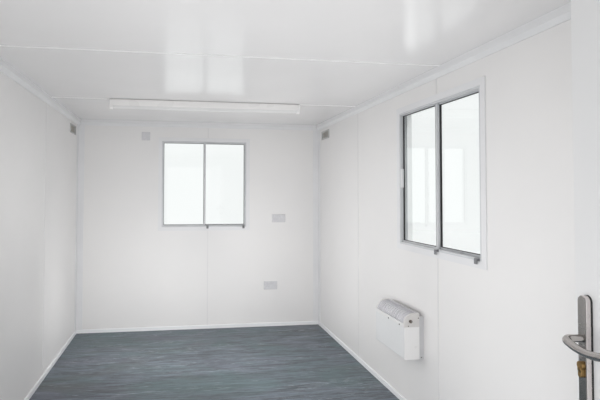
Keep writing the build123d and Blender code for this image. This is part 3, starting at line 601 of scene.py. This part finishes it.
# Window glass: clear, with faint smears
glass = {
    "clear": (0.93, 0.97, 0.96),
    "smeared": (0.96, 0.985, 0.98),
    "refraction": 1.45,
    "smearStretch": (1, 1, 0.5),
    "smearSize": 0.3,
    "smearDetail": 4,
    "smearSpan": (0.4, 0.8),
    "glossRange": (0.0, 0.03),
}


def glassFinish(look):
    finish, shader = startFinish("windowGlass", 0.0)
    shader.inputs["Transmission Weight"].default_value = 1.0
    shader.inputs["IOR"].default_value = look["refraction"]
    smears = mottle(finish, placed(finish, look["smearStretch"]), look["smearSize"], look["smearDetail"])
    join(finish, tint(finish, smears, look["clear"], look["smeared"]), shader.inputs["Base Color"])
    varyRoughness(finish, shader, smears, look["smearSpan"], look["glossRange"])
    return finish


# Board joint strips: painted light makes those on the ceiling much lighter than those on the walls
jointStrip = {
    "wall": (0.745, 0.735, 0.735),
    "wallShade": (0.725, 0.715, 0.715),
    "overhead": (0.97, 0.97, 0.97),
    "overheadShade": (0.94, 0.94, 0.94),
    "roughness": 0.35,
    "patch": 0.3,
    "peel": 0.006,
    "peelDepth": 0.00003,
    "ceilingReach": 0.02,
}


def stripFinish(look):
    finish, shader = startFinish("jointStripPaint", look["roughness"])
    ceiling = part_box("joint_strips")[1].z
    overhead = heightAbove(finish, ceiling - look["ceilingReach"], ceiling - look["ceilingReach"] / 2)
    # painted light: the strips on the ceiling take the much lighter colour, against the shade on their edges
    stripToneWithPaintedLight = tint(finish, overhead, look["wall"], look["overhead"])
    shaded = tint(finish, overhead, look["wallShade"], look["overheadShade"])
    patches = mottle(finish, placed(finish), look["patch"], paintMarks["patchDetail"])
    colour = tint(finish, widen(finish, patches, paintMarks["patchSpan"]), stripToneWithPaintedLight, shaded)
    join(finish, colour, shader.inputs["Base Color"])
    peel = mottle(finish, placed(finish), look["peel"], paintMarks["fineDetail"])
    relief(finish, shader, peel, look["peelDepth"])
    return finish


finishes["jointStripPaint"] = stripFinish(jointStrip)
finishes["galvanised"] = zincFinish(zinc)
finishes["deckPly"] = plyFinish(ply)
finishes["windowGlass"] = glassFinish(glass)
print("floor, metal, wood and glass finishes made")

# Painted light and shade: faces that look to the front wear one colour, and the edges round them another
paintedFacingLight = {
    "frontSpan": (0.5, 0.9),  # how squarely a face looks to the front
    "edgeDulled": 0.94,
    "faceDulled": 0.92,
    "markDetail": 3,
    "smoother": 0.05,
    "rougher": 0.08,
}


def dimmed(colour, share):
    return tuple(share * part for part in colour)


def facedFinish(name, look, front):
    finish, shader = startFinish(name, look["roughness"], metallic=look["metallic"])
    coords = addNode(finish, "ShaderNodeTexCoord")
    toFront = addNode(finish, "ShaderNodeVectorMath", operation="DOT_PRODUCT")
    join(finish, coords.outputs["Normal"], toFront.inputs[0])
    toFront.inputs[1].default_value = front
    squarely = combine(finish, "ABSOLUTE", toFront.outputs["Value"], 0)
    share = widen(finish, squarely, paintedFacingLight["frontSpan"])
    lines = brushLines(finish, look)
    # painted light and shade, blended by how squarely each face looks to the front
    paintedLightTones = tint(finish, share, look["edge"], look["face"])
    dulledEdge = dimmed(look["edge"], paintedFacingLight["edgeDulled"])
    dulledFace = dimmed(look["face"], paintedFacingLight["faceDulled"])
    dulled = tint(finish, share, dulledEdge, dulledFace)
    join(finish, tint(finish, widen(finish, lines, middleSpan), paintedLightTones, dulled), shader.inputs["Base Color"])
    marks = mottle(finish, placed(finish), look["mark"], paintedFacingLight["markDetail"])
    glossRange = (look["roughness"] - paintedFacingLight["smoother"], look["roughness"] + paintedFacingLight["rougher"])
    varyRoughness(finish, shader, marks, middleSpan, glossRange)
    relief(finish, shader, lines, look["depth"])
    return finish


# Which finish each piece of the frame wears; the handle plates and the heater's case come later
wears = {
    "greenSteel": ["corner_posts", "base_rails", "roof_rails", "roof_gables", "lifting_eyes"],
    "galvanised": ["floor_joists", "roof_joists", "door_threshold"],
    "bracketPaint": ["heater_brackets"],
    "revealPaint": ["window_reveals"],
    "polishedSteel": ["lever_handles"],
    "deckPly": ["floor_deck"],
    "streakedVinyl": ["floor_vinyl"],
    "insulatedCore": [
        "left_wall",
        "right_wall",
        "rear_wall",
        "front_wall_left",
        "front_wall_right",
        "front_wall_over_door",
    ],
    "whiteSheet": ["side_cladding", "end_cladding"],
    "whiteRoof": ["roof_sheet", "ridge_cap"],
    "liningBoard": ["left_lining", "right_lining", "rear_lining", "front_lining"],
    "ceilingBoard": ["ceiling_boards"],
    "whiteTrim": ["coving", "corner_trims", "window_trims", "window_pull", "door_frame", "door_trim"],
    "skirtingTrim": ["skirting"],
    "jointStripPaint": ["joint_strips"],
    "windowAluminium": [
        "rear_window_frame",
        "rear_window_sashes",
        "side_window_frame",
        "side_window_sashes",
    ],
    "windowGlass": ["window_glass"],
    "sealRubberAndPaintedShade": ["window_seals"],
    "hookGrey": ["window_hooks"],
    "doorPaint": ["door_leaf"],
    "stainless": ["lock_faceplate", "hinge_jamb_halves", "hinge_door_halves"],
    "brass": ["lock_cylinder"],
    "lightBody": ["light_body", "light_caps"],
    "lightDiffuser": ["light_diffuser"],
    "heaterCap": ["heater_ends"],
    "heaterGrille": ["heater_grille"],
    "outletPlate": ["wall_plates"],
    "ventGrey": ["wall_vents"],
}


def dress(nodeName, finish):
    mesh = cadNodes[nodeName].data
    mesh.materials.clear()
    mesh.materials.append(finish)


for finishName, nodeNames in wears.items():
    for nodeName in nodeNames:
        dress(nodeName, finishes[finishName])
print("finishes put on the frame")

# Small fittings: each is modelled once at the origin, then copied to its places
upright = Vector((0, 0, 1))
smoothAngle = 35
topNormal = 0.9  # a face whose normal reaches higher is a top
sideNormal = 0.2  # and one whose normal stays lower is a side
headShape = {"rim": 0.22, "dome": 0.35, "socketRim": 0.38}  # shares of a head's radius and height
blockShape = {"rim": 0.1, "segments": 2}


def startPiece(name):
    piece = bpy.context.object
    piece.name = name
    bpy.ops.object.transform_apply(location=True, rotation=True, scale=True)
    return piece


def startCylinder(name, sides, radius, height, ends="NGON"):
    bpy.ops.object.select_all(action="DESELECT")
    bpy.ops.mesh.primitive_cylinder_add(
        vertices=sides, radius=radius, depth=height, end_fill_type=ends, location=(0, 0, height / 2)
    )
    return startPiece(name)


def pickFaces(piece, wanted):
    bpy.ops.mesh.select_mode(type="FACE")
    bpy.ops.mesh.select_all(action="DESELECT")
    cage = bmesh.from_edit_mesh(piece.data)
    for face in cage.faces:
        face.select_set(bool(wanted(face)))
    bmesh.update_edit_mesh(piece.data)


def pickPoints(piece, wanted):
    bpy.ops.mesh.select_mode(type="VERT")
    bpy.ops.mesh.select_all(action="DESELECT")
    cage = bmesh.from_edit_mesh(piece.data)
    for point in cage.verts:
        point.select = bool(wanted(point))
    cage.select_flush(True)
    bmesh.update_edit_mesh(piece.data)


def isTop(face):
    return face.normal.z > topNormal


def isSide(face):
    return abs(face.normal.z) < sideNormal


def finishWith(piece, name, kind, **settings):
    modifier = piece.modifiers.new(name, kind)
    for setting, value in settings.items():
        setattr(modifier, setting, value)
    bpy.ops.object.modifier_apply(modifier=name)


def screwHead(name, look):
    piece = startCylinder(name, look["sides"], look["radius"], look["height"])
    bpy.ops.object.mode_set(mode="EDIT")
    pickFaces(piece, isTop)
    bpy.ops.mesh.inset(thickness=look["radius"] * headShape["rim"], depth=look["height"] * headShape["dome"])
    if look["socket"]:
        bpy.ops.mesh.inset(thickness=look["radius"] * headShape["socketRim"], depth=0)
        down = -look["height"] * look["socket"]
        bpy.ops.mesh.extrude_region_move(TRANSFORM_OT_translate={"value": (0, 0, down)})
    bpy.ops.object.mode_set(mode="OBJECT")
    return piece


def roundedBlock(name, size, bevel):
    bpy.ops.object.select_all(action="DESELECT")
    bpy.ops.mesh.primitive_cube_add(size=1, location=(0, 0, size[2] / 2))
    bpy.ops.transform.resize(value=size)
    piece = startPiece(name)
    bpy.ops.object.mode_set(mode="EDIT")
    pickFaces(piece, isTop)
    bpy.ops.mesh.inset(thickness=min(size) * blockShape["rim"], depth=0)
    bpy.ops.mesh.select_all(action="SELECT")
    bpy.ops.mesh.bevel(offset=bevel, segments=blockShape["segments"], affect="EDGES")
    bpy.ops.object.mode_set(mode="OBJECT")
    return piece


def setOut(name, master, spots, finish, body):
    # a spot is a place, the way the fitting faces and the way its own Y points
    copies = []
    for place, facing, upward in spots:
        copy = master.copy()
        copy.data = master.data.copy()
        bpy.context.scene.collection.objects.link(copy)
        facing = Vector(facing).normalized()
        upward = Vector(upward).normalized()
        sideways = upward.cross(facing).normalized()
        turn = Matrix((sideways, facing.cross(sideways), facing)).transposed().to_4x4()
        copy.data.transform(Matrix.Translation(Vector(place)) @ turn)
        copies.append(copy)
    bpy.data.objects.remove(master)
    bpy.ops.object.select_all(action="DESELECT")
    for copy in copies:
        copy.select_set(True)
    bpy.context.view_layer.objects.active = copies[0]
    if len(copies) > 1:
        bpy.ops.object.join()
    fittings = bpy.context.view_layer.objects.active
    fittings.name = name
    fittings.data.name = name
    fittings.data.materials.clear()
    fittings.data.materials.append(finishes[finish])
    bpy.ops.object.shade_smooth_by_angle(angle=radians(smoothAngle))
    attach(fittings, body)


# Door furniture, placed by the door's own axes: along it from the hinge, up it and out of its inner face
door = {
    "restAngle": 100,
    "innerFace": -0.009,
    "outerFace": -0.053,
    "spindle": (0.916, 1.119),
    "plateWidth": 0.026,
    "plateHeight": 0.245,
    "plateTop": 0.089,
    "plateThickness": 0.014,
    "cylinderDrop": 0.064,
    "cylinderProud": 0.006,
    "freeEdge": 0.955,
    "leafMiddle": -0.031,
    "faceplateReach": 0.107,
    "hingeLevels": (0.210, 0.9925, 1.775),
    "hingePlateMiddle": 0.023,
    "hingePlateFace": -0.0065,
    "hingeHoles": ((-0.006, -0.036), (0.006, -0.014), (-0.006, 0.014), (0.006, 0.036)),
}
hingeJoint = [joint for joint in frame["joints"] if joint["name"] == "door_hinge"][0]
hingePlace = Vector(hingeJoint["pos_m"])
restTurn = radians(door["restAngle"])
doorAlong = Vector((-cos(restTurn), sin(restTurn), 0))
doorOut = Vector((sin(restTurn), cos(restTurn), 0))
doorSides = ((door["innerFace"], 1), (door["outerFace"], -1))


def doorPoint(along, up, out):
    return hingePlace + doorAlong * along + upright * up + doorOut * out


# The handle plates get painted reflection: dark on the face and bright round the edge
plateSteel = {
    # face and edge colours are painted reflection, dark on the face and bright round the edge
    "face": (0.44, 0.425, 0.41),
    "edge": (0.78, 0.73, 0.72),
    "roughness": 0.24,
    "metallic": 1.0,
    "along": (1, 1, 0.04),
    "line": 0.0008,
    "mark": 0.02,
    "depth": 0.000003,
}
dress("handle_plates", facedFinish("plateSteel", plateSteel, doorOut))

# Dark rubber ring behind each plate as painted shadow under its edge, pulled out to the plate's length
shadowGasket = {
    "overhang": 0.0007,
    "depth": 0.0035,
    "wall": 0.0011,
    "sides": 30,
    "upperHalf": 0.0001,  # points above this move up
    "lowerHalf": 0.001,  # the rest, which are below this, move down
}
shadowGasketRadius = door["plateWidth"] / 2 + shadowGasket["overhang"]
plateShadowGasket = startCylinder("plateShadowGasket", shadowGasket["sides"], shadowGasketRadius, shadowGasket["depth"], ends="NOTHING")
bpy.ops.object.mode_set(mode="EDIT")
halfStretch = (door["plateHeight"] - door["plateWidth"]) / 2
pickPoints(plateShadowGasket, lambda point: point.co.y > shadowGasket["upperHalf"])
bpy.ops.transform.translate(value=(0, halfStretch, 0))
pickPoints(plateShadowGasket, lambda point: point.co.y < shadowGasket["lowerHalf"])
bpy.ops.transform.translate(value=(0, -halfStretch, 0))
bpy.ops.object.mode_set(mode="OBJECT")
finishWith(plateShadowGasket, "wall", "SOLIDIFY", thickness=shadowGasket["wall"], offset=-1)
plateMiddle = door["spindle"][1] + door["plateTop"] - door["plateHeight"] / 2
spots = []
for face, way in doorSides:
    spots.append((doorPoint(door["spindle"][0], plateMiddle, face), doorOut * way, upright))
setOut("plateShadowGaskets", plateShadowGasket, spots, "sealRubberAndPaintedShade", "door")

# Plug of the lock cylinder on both sides of the door, its key slot a dark block painted as the slot's shade
keyhole = {
    "plugRadius": 0.0062,
    "plugHeight": 0.0005,
    "sides": 24,
    "rim": 0.0004,
    "rimRise": 0.0002,
    "slot": (0.0013, 0.0082, 0.0004),
    "slotBevel": 0.00015,
    "slotProud": 0.0001,
}
keyPlug = startCylinder("keyPlug", keyhole["sides"], keyhole["plugRadius"], keyhole["plugHeight"])
bpy.ops.object.mode_set(mode="EDIT")
pickFaces(keyPlug, isTop)
bpy.ops.mesh.inset(thickness=keyhole["rim"], depth=keyhole["rimRise"])
bpy.ops.object.mode_set(mode="OBJECT")
keySlotShade = roundedBlock("keySlotShade", keyhole["slot"], keyhole["slotBevel"])
plugSpots = []
slotSpots = []
cylinderUp = door["spindle"][1] - door["cylinderDrop"]
for face, way in doorSides:
    out = face + way * (door["plateThickness"] + door["cylinderProud"])
    rise = way * (keyhole["plugHeight"] + keyhole["slotProud"])
    plugSpots.append((doorPoint(door["spindle"][0], cylinderUp, out), doorOut * way, upright))
    slotSpots.append((doorPoint(door["spindle"][0], cylinderUp, out + rise), doorOut * way, upright))
setOut("cylinderPlugs", keyPlug, plugSpots, "brass", "door")
setOut("keySlotShades", keySlotShade, slotSpots, "sealRubberAndPaintedShade", "door")

# Screws of the hinges and of the lock's faceplate
steelScrew = {"sides": 14, "radius": 0.0042, "height": 0.0012, "socket": 0.7}
doorSpots = []
jambSpots = []
for level in door["hingeLevels"]:
    for across, up in door["hingeHoles"]:
        along = door["hingePlateMiddle"] + across
        doorSpots.append((doorPoint(along, level + up, door["hingePlateFace"]), doorOut, upright))
        onJamb = hingePlace + Vector((along, door["hingePlateFace"], level + up))
        jambSpots.append((onJamb, (0, 1, 0), upright))
setOut("hingeDoorScrews", screwHead("hingeScrew", steelScrew), doorSpots, "stainless", "door")
setOut("hingeJambScrews", screwHead("hingeScrew", steelScrew), jambSpots, "stainless", "cabin")
spots = []
for way in (-1, 1):
    up = door["spindle"][1] + way * door["faceplateReach"]
    spots.append((doorPoint(door["freeEdge"], up, door["leafMiddle"]), doorAlong, upright))
setOut("faceplateScrews", screwHead("faceplateScrew", steelScrew), spots, "stainless", "door")
print("door fittings set out")

# Heater case: painted light and shade make the front a little darker than its top and edges
caseLow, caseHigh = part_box("heater_case")
casePaint = {
    "face": (0.755, 0.76, 0.765),
    "edge": (0.88, 0.87, 0.865),
    "roughness": 0.32,
    "metallic": 0.0,
    "along": (1, 1, 1),
    "line": 0.002,
    "mark": 0.2,
    "depth": 0.00003,
}
dress("heater_case", facedFinish("heaterCasePaint", casePaint, (1, 0, 0)))

# Front lip that stands above the case, the upper half of a sheet with round corners, and its clips
lip = {
    "height": 0.026,
    "thickness": 0.0016,
    "radius": 0.016,
    "segments": 6,
    "overlap": 0.002,
    "edge": 0.0004,
    "edgeSegments": 2,
    "clipPlaces": (0.062, 0.218),
    "clipRise": 0.004,
    "clip": {"sides": 16, "radius": 0.0052, "height": 0.0016, "socket": 0.9},
}
lipLength = caseHigh.y - caseLow.y
bpy.ops.object.select_all(action="DESELECT")
bpy.ops.mesh.primitive_plane_add(size=1, location=(0, 0, 0))
bpy.ops.transform.resize(value=(lipLength, lip["height"] * 2, 1))
frontLip = startPiece("frontLip")
bpy.ops.object.mode_set(mode="EDIT")
bpy.ops.mesh.select_all(action="SELECT")
bpy.ops.mesh.bevel(offset=lip["radius"], segments=lip["segments"], affect="VERTICES")
bpy.ops.mesh.select_all(action="SELECT")
bpy.ops.mesh.bisect(plane_co=(0, 0, 0), plane_no=(0, 1, 0), clear_inner=True, use_fill=False)
bpy.ops.object.mode_set(mode="OBJECT")
finishWith(frontLip, "sheet", "SOLIDIFY", thickness=lip["thickness"], offset=1)
finishWith(frontLip, "edge", "BEVEL", width=lip["edge"], segments=lip["edgeSegments"], limit_method="ANGLE")
lipPlace = Vector((caseLow.x, (caseLow.y + caseHigh.y) / 2, caseHigh.z - lip["overlap"]))
setOut("heaterFrontLip", frontLip, [(lipPlace, (-1, 0, 0), upright)], "heaterPaint", "cabin")
spots = []
for step in lip["clipPlaces"]:
    place = (caseLow.x - lip["thickness"], caseLow.y + step, caseHigh.z + lip["clipRise"])
    spots.append((place, (-1, 0, 0), upright))
setOut("heaterClips", screwHead("heaterClip", lip["clip"]), spots, "darkScrew", "cabin")

# Screws in the heater's near cap and in its wall brackets, as places across and up
heaterScrews = {
    "cap": ((1.2395, 0.8455), (1.1725, 0.7975)),
    "bracket": (1.262, 0.598),
    "screw": {"sides": 12, "radius": 0.0034, "height": 0.0016, "socket": 0.9},
}
spots = []
for across, up in heaterScrews["cap"]:
    spots.append(((across, caseLow.y, up), (0, -1, 0), upright))
bracketLow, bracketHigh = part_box("heater_brackets")
for end, way in ((bracketLow.y, -1), (bracketHigh.y, 1)):
    across, up = heaterScrews["bracket"]
    spots.append(((across, end, up), (0, way, 0), upright))
heaterScrew = screwHead("heaterScrew", heaterScrews["screw"])
setOut("heaterScrews", heaterScrew, spots, "darkScrew", "cabin")

# Control knob: a raised rim, a dished top and grip notches in every second face round it
knob = {
    "middle": (1.186, 0.827),
    "radius": 0.0095,
    "depth": 0.0095,
    "sides": 32,
    "rim": (0.0012, 0.0006),  # each as its width and its height
    "dish": (0.0018, -0.0005),
    "notch": (0.0003, -0.0004),
    "pointer": (0.0016, 0.0075, 0.0008),
    "pointerBevel": 0.0002,
    "pointerOffset": 0.004,
    "pointerProud": 0.0002,
    "pointerWay": (1, 0, 0.15),
}
knobCap = startCylinder("knobCap", knob["sides"], knob["radius"], knob["depth"])
bpy.ops.object.mode_set(mode="EDIT")
pickFaces(knobCap, isTop)
bpy.ops.mesh.inset(thickness=knob["rim"][0], depth=knob["rim"][1])
bpy.ops.mesh.inset(thickness=knob["dish"][0], depth=knob["dish"][1])
pickFaces(knobCap, lambda face: isSide(face) and face.index % 2)
bpy.ops.mesh.inset(thickness=knob["notch"][0], depth=knob["notch"][1], use_individual=True)
bpy.ops.object.mode_set(mode="OBJECT")
knobPlace = Vector((knob["middle"][0], caseLow.y, knob["middle"][1]))
setOut("heaterKnobCap", knobCap, [(knobPlace, (0, -1, 0), upright)], "knobBrown", "cabin")
pointer = roundedBlock("pointer", knob["pointer"], knob["pointerBevel"])
pointerPlace = knobPlace + Vector((knob["pointerOffset"], -knob["depth"] - knob["pointerProud"], 0))
pointerSpot = (pointerPlace, (0, -1, 0), knob["pointerWay"])
setOut("heaterPointer", pointer, [pointerSpot], "heaterPaint", "cabin")
print("heater fittings set out")

# Screws in the wall plates: each plate's place across and up, and how far from it its screws are
outlets = {
    "proud": 0.009,
    "plates": ((0.827, 1.358, 0.0603), (0.738, 0.637, 0.0603), (-0.594, 2.224, 0.0301)),
    "screw": {"sides": 12, "radius": 0.0032, "height": 0.0009, "socket": 0.8},
}
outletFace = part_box("rear_lining")[0].y - outlets["proud"]
spots = []
for across, up, reach in outlets["plates"]:
    for way in (-1, 1):
        spots.append(((across + way * reach, outletFace, up), (0, -1, 0), upright))
outletScrew = screwHead("outletScrew", outlets["screw"])
setOut("outletScrews", outletScrew, spots, "outletPlate", "cabin")

# Screws in the corners of the two vents, which face each other across the room
vents = {
    "proud": 0.007,
    "inset": 0.006,
    "screw": {"sides": 12, "radius": 0.0028, "height": 0.0009, "socket": 0.8},
}
ventLow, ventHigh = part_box("wall_vents")
ventMiddle = (ventLow + ventHigh) / 2
ventReach = ((ventHigh.y - ventLow.y) / 2 - vents["inset"], (ventHigh.z - ventLow.z) / 2 - vents["inset"])
spots = []
for wallX, inward in ((ventLow.x + vents["proud"], 1), (ventHigh.x - vents["proud"], -1)):
    for way in (-1, 1):
        for rise in (-1, 1):
            place = (wallX, ventMiddle.y + way * ventReach[0], ventMiddle.z + rise * ventReach[1])
            spots.append((place, (inward, 0, 0), upright))
setOut("ventScrews", screwHead("ventScrew", vents["screw"]), spots, "stainless", "cabin")

# Screws in the ends of the light
lightEnds = {
    "reach": 0.018,
    "drop": 0.03,
    "screw": {"sides": 12, "radius": 0.0035, "height": 0.001, "socket": 0.8},
}
lightLow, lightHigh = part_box("light_caps")
lightMiddle = (lightLow + lightHigh) / 2
spots = []
for endX, outward in ((lightLow.x, -1), (lightHigh.x, 1)):
    for way in (-1, 1):
        place = (endX, lightMiddle.y + way * lightEnds["reach"], lightHigh.z - lightEnds["drop"])
        spots.append((place, (outward, 0, 0), upright))
lightScrew = screwHead("lightScrew", lightEnds["screw"])
setOut("lightEndScrews", lightScrew, spots, "lightBody", "cabin")
print("inside fittings set out")


def evenly(count, pitch):
    return [(step - (count - 1) / 2) * pitch for step in range(count)]


# Rivets in the cladding between its ribs; the rows below the door's top stop beside the doorway
cladding = {
    "sheetProud": 0.016,
    "rows": (0.207, 1.16, 2.366),
    "pitch": 0.2,
    "sidePans": 26,
    "endPans": 13,
    "halfDoorway": 0.56,
    "doorTop": 2.3,
    "rivet": {"sides": 8, "radius": 0.006, "height": 0.0028, "socket": 0},
}
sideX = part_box("side_cladding")[1].x - cladding["sheetProud"]
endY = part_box("end_cladding")[1].y - cladding["sheetProud"]
spots = []
for row in cladding["rows"]:
    for along in evenly(cladding["sidePans"], cladding["pitch"]):
        for way in (-1, 1):
            spots.append(((way * sideX, along, row), (way, 0, 0), upright))
setOut("sideRivets", screwHead("rivet", cladding["rivet"]), spots, "whiteSheet", "cabin")
spots = []
for row in cladding["rows"]:
    for across in evenly(cladding["endPans"], cladding["pitch"]):
        spots.append(((across, endY, row), (0, 1, 0), upright))
        if row > cladding["doorTop"] or abs(across) >= cladding["halfDoorway"]:
            spots.append(((across, -endY, row), (0, -1, 0), upright))
setOut("endRivets", screwHead("rivet", cladding["rivet"]), spots, "whiteSheet", "cabin")

# Screw heads on the roof's ribs, which fall from the ridge to both sides
roof = {
    "level": 2.5,  # height of the sheet at the eaves
    "fall": 0.030,
    "half": 1.366,  # from the ridge to the eaves
    "ribTop": 0.022,
    "ribs": 21,
    "pitch": 0.25,
    "across": (0.16, 0.72, 1.28),
    "screw": {"sides": 8, "radius": 0.0075, "height": 0.004, "socket": 0},
}
lean = roof["fall"] / roof["half"]
spots = []
for along in evenly(roof["ribs"], roof["pitch"]):
    for reach in roof["across"]:
        for way in (-1, 1):
            up = roof["level"] + roof["fall"] - lean * reach + roof["ribTop"]
            spots.append(((way * reach, along, up), (way * lean, 0, 1), (0, 1, 0)))
setOut("roofScrews", screwHead("roofScrew", roof["screw"]), spots, "galvanised", "cabin")
print("outside fixings set out")

# Studio: a white surround, and a pale floor that fades into it
studio = {
    "ambient": 0.62,
    "floorRadius": 60,
    "floorSides": 96,
    "floorDrop": 0.001,
    "floorColour": (0.80, 0.80, 0.80),
    "floorRoughness": 0.6,
    "fade": (8, 20),
}


def seenRays(finish):
    path = addNode(finish, "ShaderNodeLightPath")
    seen = combine(finish, "MAXIMUM", path.outputs["Is Camera Ray"], path.outputs["Is Glossy Ray"])
    return combine(finish, "MAXIMUM", seen, path.outputs["Is Transmission Ray"])


def fadingFinish(look):
    # plain near the cabin and glowing white farther out, though only where it is looked at
    finish, shader = startFinish("studioFloor", look["floorRoughness"])
    shader.inputs["Base Color"].default_value = (*look["floorColour"], 1)
    coords = addNode(finish, "ShaderNodeTexCoord")
    away = addNode(finish, "ShaderNodeVectorMath", operation="LENGTH")
    join(finish, coords.outputs["Object"], away.inputs[0])
    fade = widen(finish, away.outputs["Value"], look["fade"])
    fade = combine(finish, "MULTIPLY", fade, seenRays(finish))
    glow = addNode(finish, "ShaderNodeEmission")
    glow.inputs["Strength"].default_value = 1.0
    blend = addNode(finish, "ShaderNodeMixShader")
    join(finish, fade, blend.inputs["Fac"])
    join(finish, shader.outputs["BSDF"], blend.inputs[1])
    join(finish, glow.outputs["Emission"], blend.inputs[2])
    join(finish, blend.outputs["Shader"], finish.node_tree.nodes["Material Output"].inputs["Surface"])
    return finish


world = bpy.data.worlds.new("studioSurround")
bpy.context.scene.world = world
world.use_nodes = True
surround = world.node_tree.nodes["Background"]
surround.inputs["Color"].default_value = (1, 1, 1, 1)
level = widen(world, seenRays(world), (0, 1), (studio["ambient"], 1.0))
join(world, level, surround.inputs["Strength"])

bpy.ops.object.select_all(action="DESELECT")
bpy.ops.mesh.primitive_circle_add(
    vertices=studio["floorSides"],
    radius=studio["floorRadius"],
    fill_type="NGON",
    location=(0, 0, -studio["floorDrop"]),
)
studioFloor = bpy.context.object
studioFloor.name = "studioFloor"
studioFloor.data.materials.append(fadingFinish(studio))

# Soft lamps in the room: place, way it faces as Euler degrees, size in metres, power in watts, and
# glossy for a lamp that shows in reflections
lamps = {
    "rightFarLamp": {"place": (0.1, 1.2, 1.2), "faces": (0, -90, 0), "size": (1.3, 1.8), "power": 4.5},
    "rightNearLamp": {"place": (0, -0.7, 1.5), "faces": (0, -90, 0), "size": (0.9, 1.4), "power": 1.33},
    "rightLowLamp": {"place": (0, -0.3, 0.65), "faces": (0, -90, 0), "size": (0.6, 2.2), "power": 4.5},
    "rearLowLamp": {"place": (-0.2, 1.2, 0.75), "faces": (90, 0, 0), "size": (1.2, 0.7), "power": 3.6},
    "floorEndLamp": {"place": (-0.1, 0.95, 0.8), "faces": (90, 0, 0), "size": (1.1, 0.6), "power": 3.3},
    "floorMiddleLamp": {"place": (0.1, 0.5, 0.85), "faces": (90, 0, 0), "size": (0.9, 0.6), "power": 1.2},
    "rearSkirtingLamp": {"place": (-0.5, 1.5, 0.7), "faces": (90, 0, 0), "size": (0.7, 0.6), "power": 1.1},
    "heaterLamp": {"place": (0.6, -0.9, 0.7), "faces": (90, 0, 0), "size": (0.5, 0.5), "power": 1.6},
    "rearLamp": {"place": (-0.1, 0.3, 1.2), "faces": (90, 0, 0), "size": (1.2, 1.2), "power": 4.6},
    "doorwayLamp": {"place": (-0.1, -1.45, 1.1), "faces": (90, 0, 0), "size": (1.0, 1.4), "power": 13.4},
    "ceilingFarLamp": {"place": (-0.35, 0.9, 1.0), "faces": (180, 0, 0), "size": (0.8, 1.6), "power": 0.24},
    "ceilingNearLamp": {"place": (-0.1, -0.4, 1.0), "faces": (180, 0, 0), "size": (1.3, 1.6), "power": 5.2},
    "ceilingLeftLamp": {"place": (-0.4, 0.2, 1.2), "faces": (180, 0, 0), "size": (0.6, 2.6), "power": 1.06},
    "doorSideLamp": {"place": (-0.5, -1.9, 1.25), "faces": (0, -90, 0), "size": (1.1, 0.7), "power": 5.7},
    "frontCornerLamp": {"place": (0.95, -1.9, 1.3), "faces": (-90, 0, 0), "size": (0.4, 1.2), "power": 0.8},
    "rearLeftPaneLamp": {
        "place": (-0.2, 2.538, 1.724),
        "faces": (-90, 0, 0),
        "size": (0.4, 0.88),
        "power": 0.35,
        "glossy": True,
    },
    "rearRightPaneLamp": {
        "place": (0.244, 2.538, 1.724),
        "faces": (-90, 0, 0),
        "size": (0.4, 0.88),
        "power": 0.35,
        "glossy": True,
    },
    "paneStreakLamp": {
        "place": (1.266, 0.45, 1.736),
        "faces": (0, 90, 0),
        "size": (0.82, 0.13),
        "power": 0.25,
        "glossy": True,
    },
    "sideWindowLamp": {
        "place": (1.272, 0.168, 1.736),
        "faces": (0, 90, 0),
        "size": (0.88, 0.86),
        "power": 0.75,
        "glossy": True,
    },
}


def hangLamp(name, data, turn, glossy):
    holder = bpy.data.objects.new(name, data)
    holder.rotation_euler = turn
    holder.visible_glossy = glossy
    bpy.context.scene.collection.objects.link(holder)
    return holder


for name, lamp in lamps.items():
    data = bpy.data.lights.new(name, "AREA")
    data.shape = "RECTANGLE"
    data.size, data.size_y = lamp["size"]
    data.energy = lamp["power"]
    holder = hangLamp(name, data, [radians(angle) for angle in lamp["faces"]], lamp.get("glossy", False))
    holder.location = lamp["place"]
    holder.visible_camera = False
    holder.visible_transmission = False

# Broad soft daylight from outside: height above the horizon, bearing from +Y, width and strength
skylights = {
    "keyLight": {"height": 50, "bearing": 140, "width": 40, "strength": 1.75},
    "fillLight": {"height": 40, "bearing": 320, "width": 40, "strength": 0.8},
}
for name, sky in skylights.items():
    data = bpy.data.lights.new(name, "SUN")
    data.energy = sky["strength"]
    data.angle = radians(sky["width"])
    hangLamp(name, data, (radians(90 - sky["height"]), 0, radians(180 - sky["bearing"])), False)
print("studio and lamps placed")

bpy.context.scene.view_settings.view_transform = "Standard"
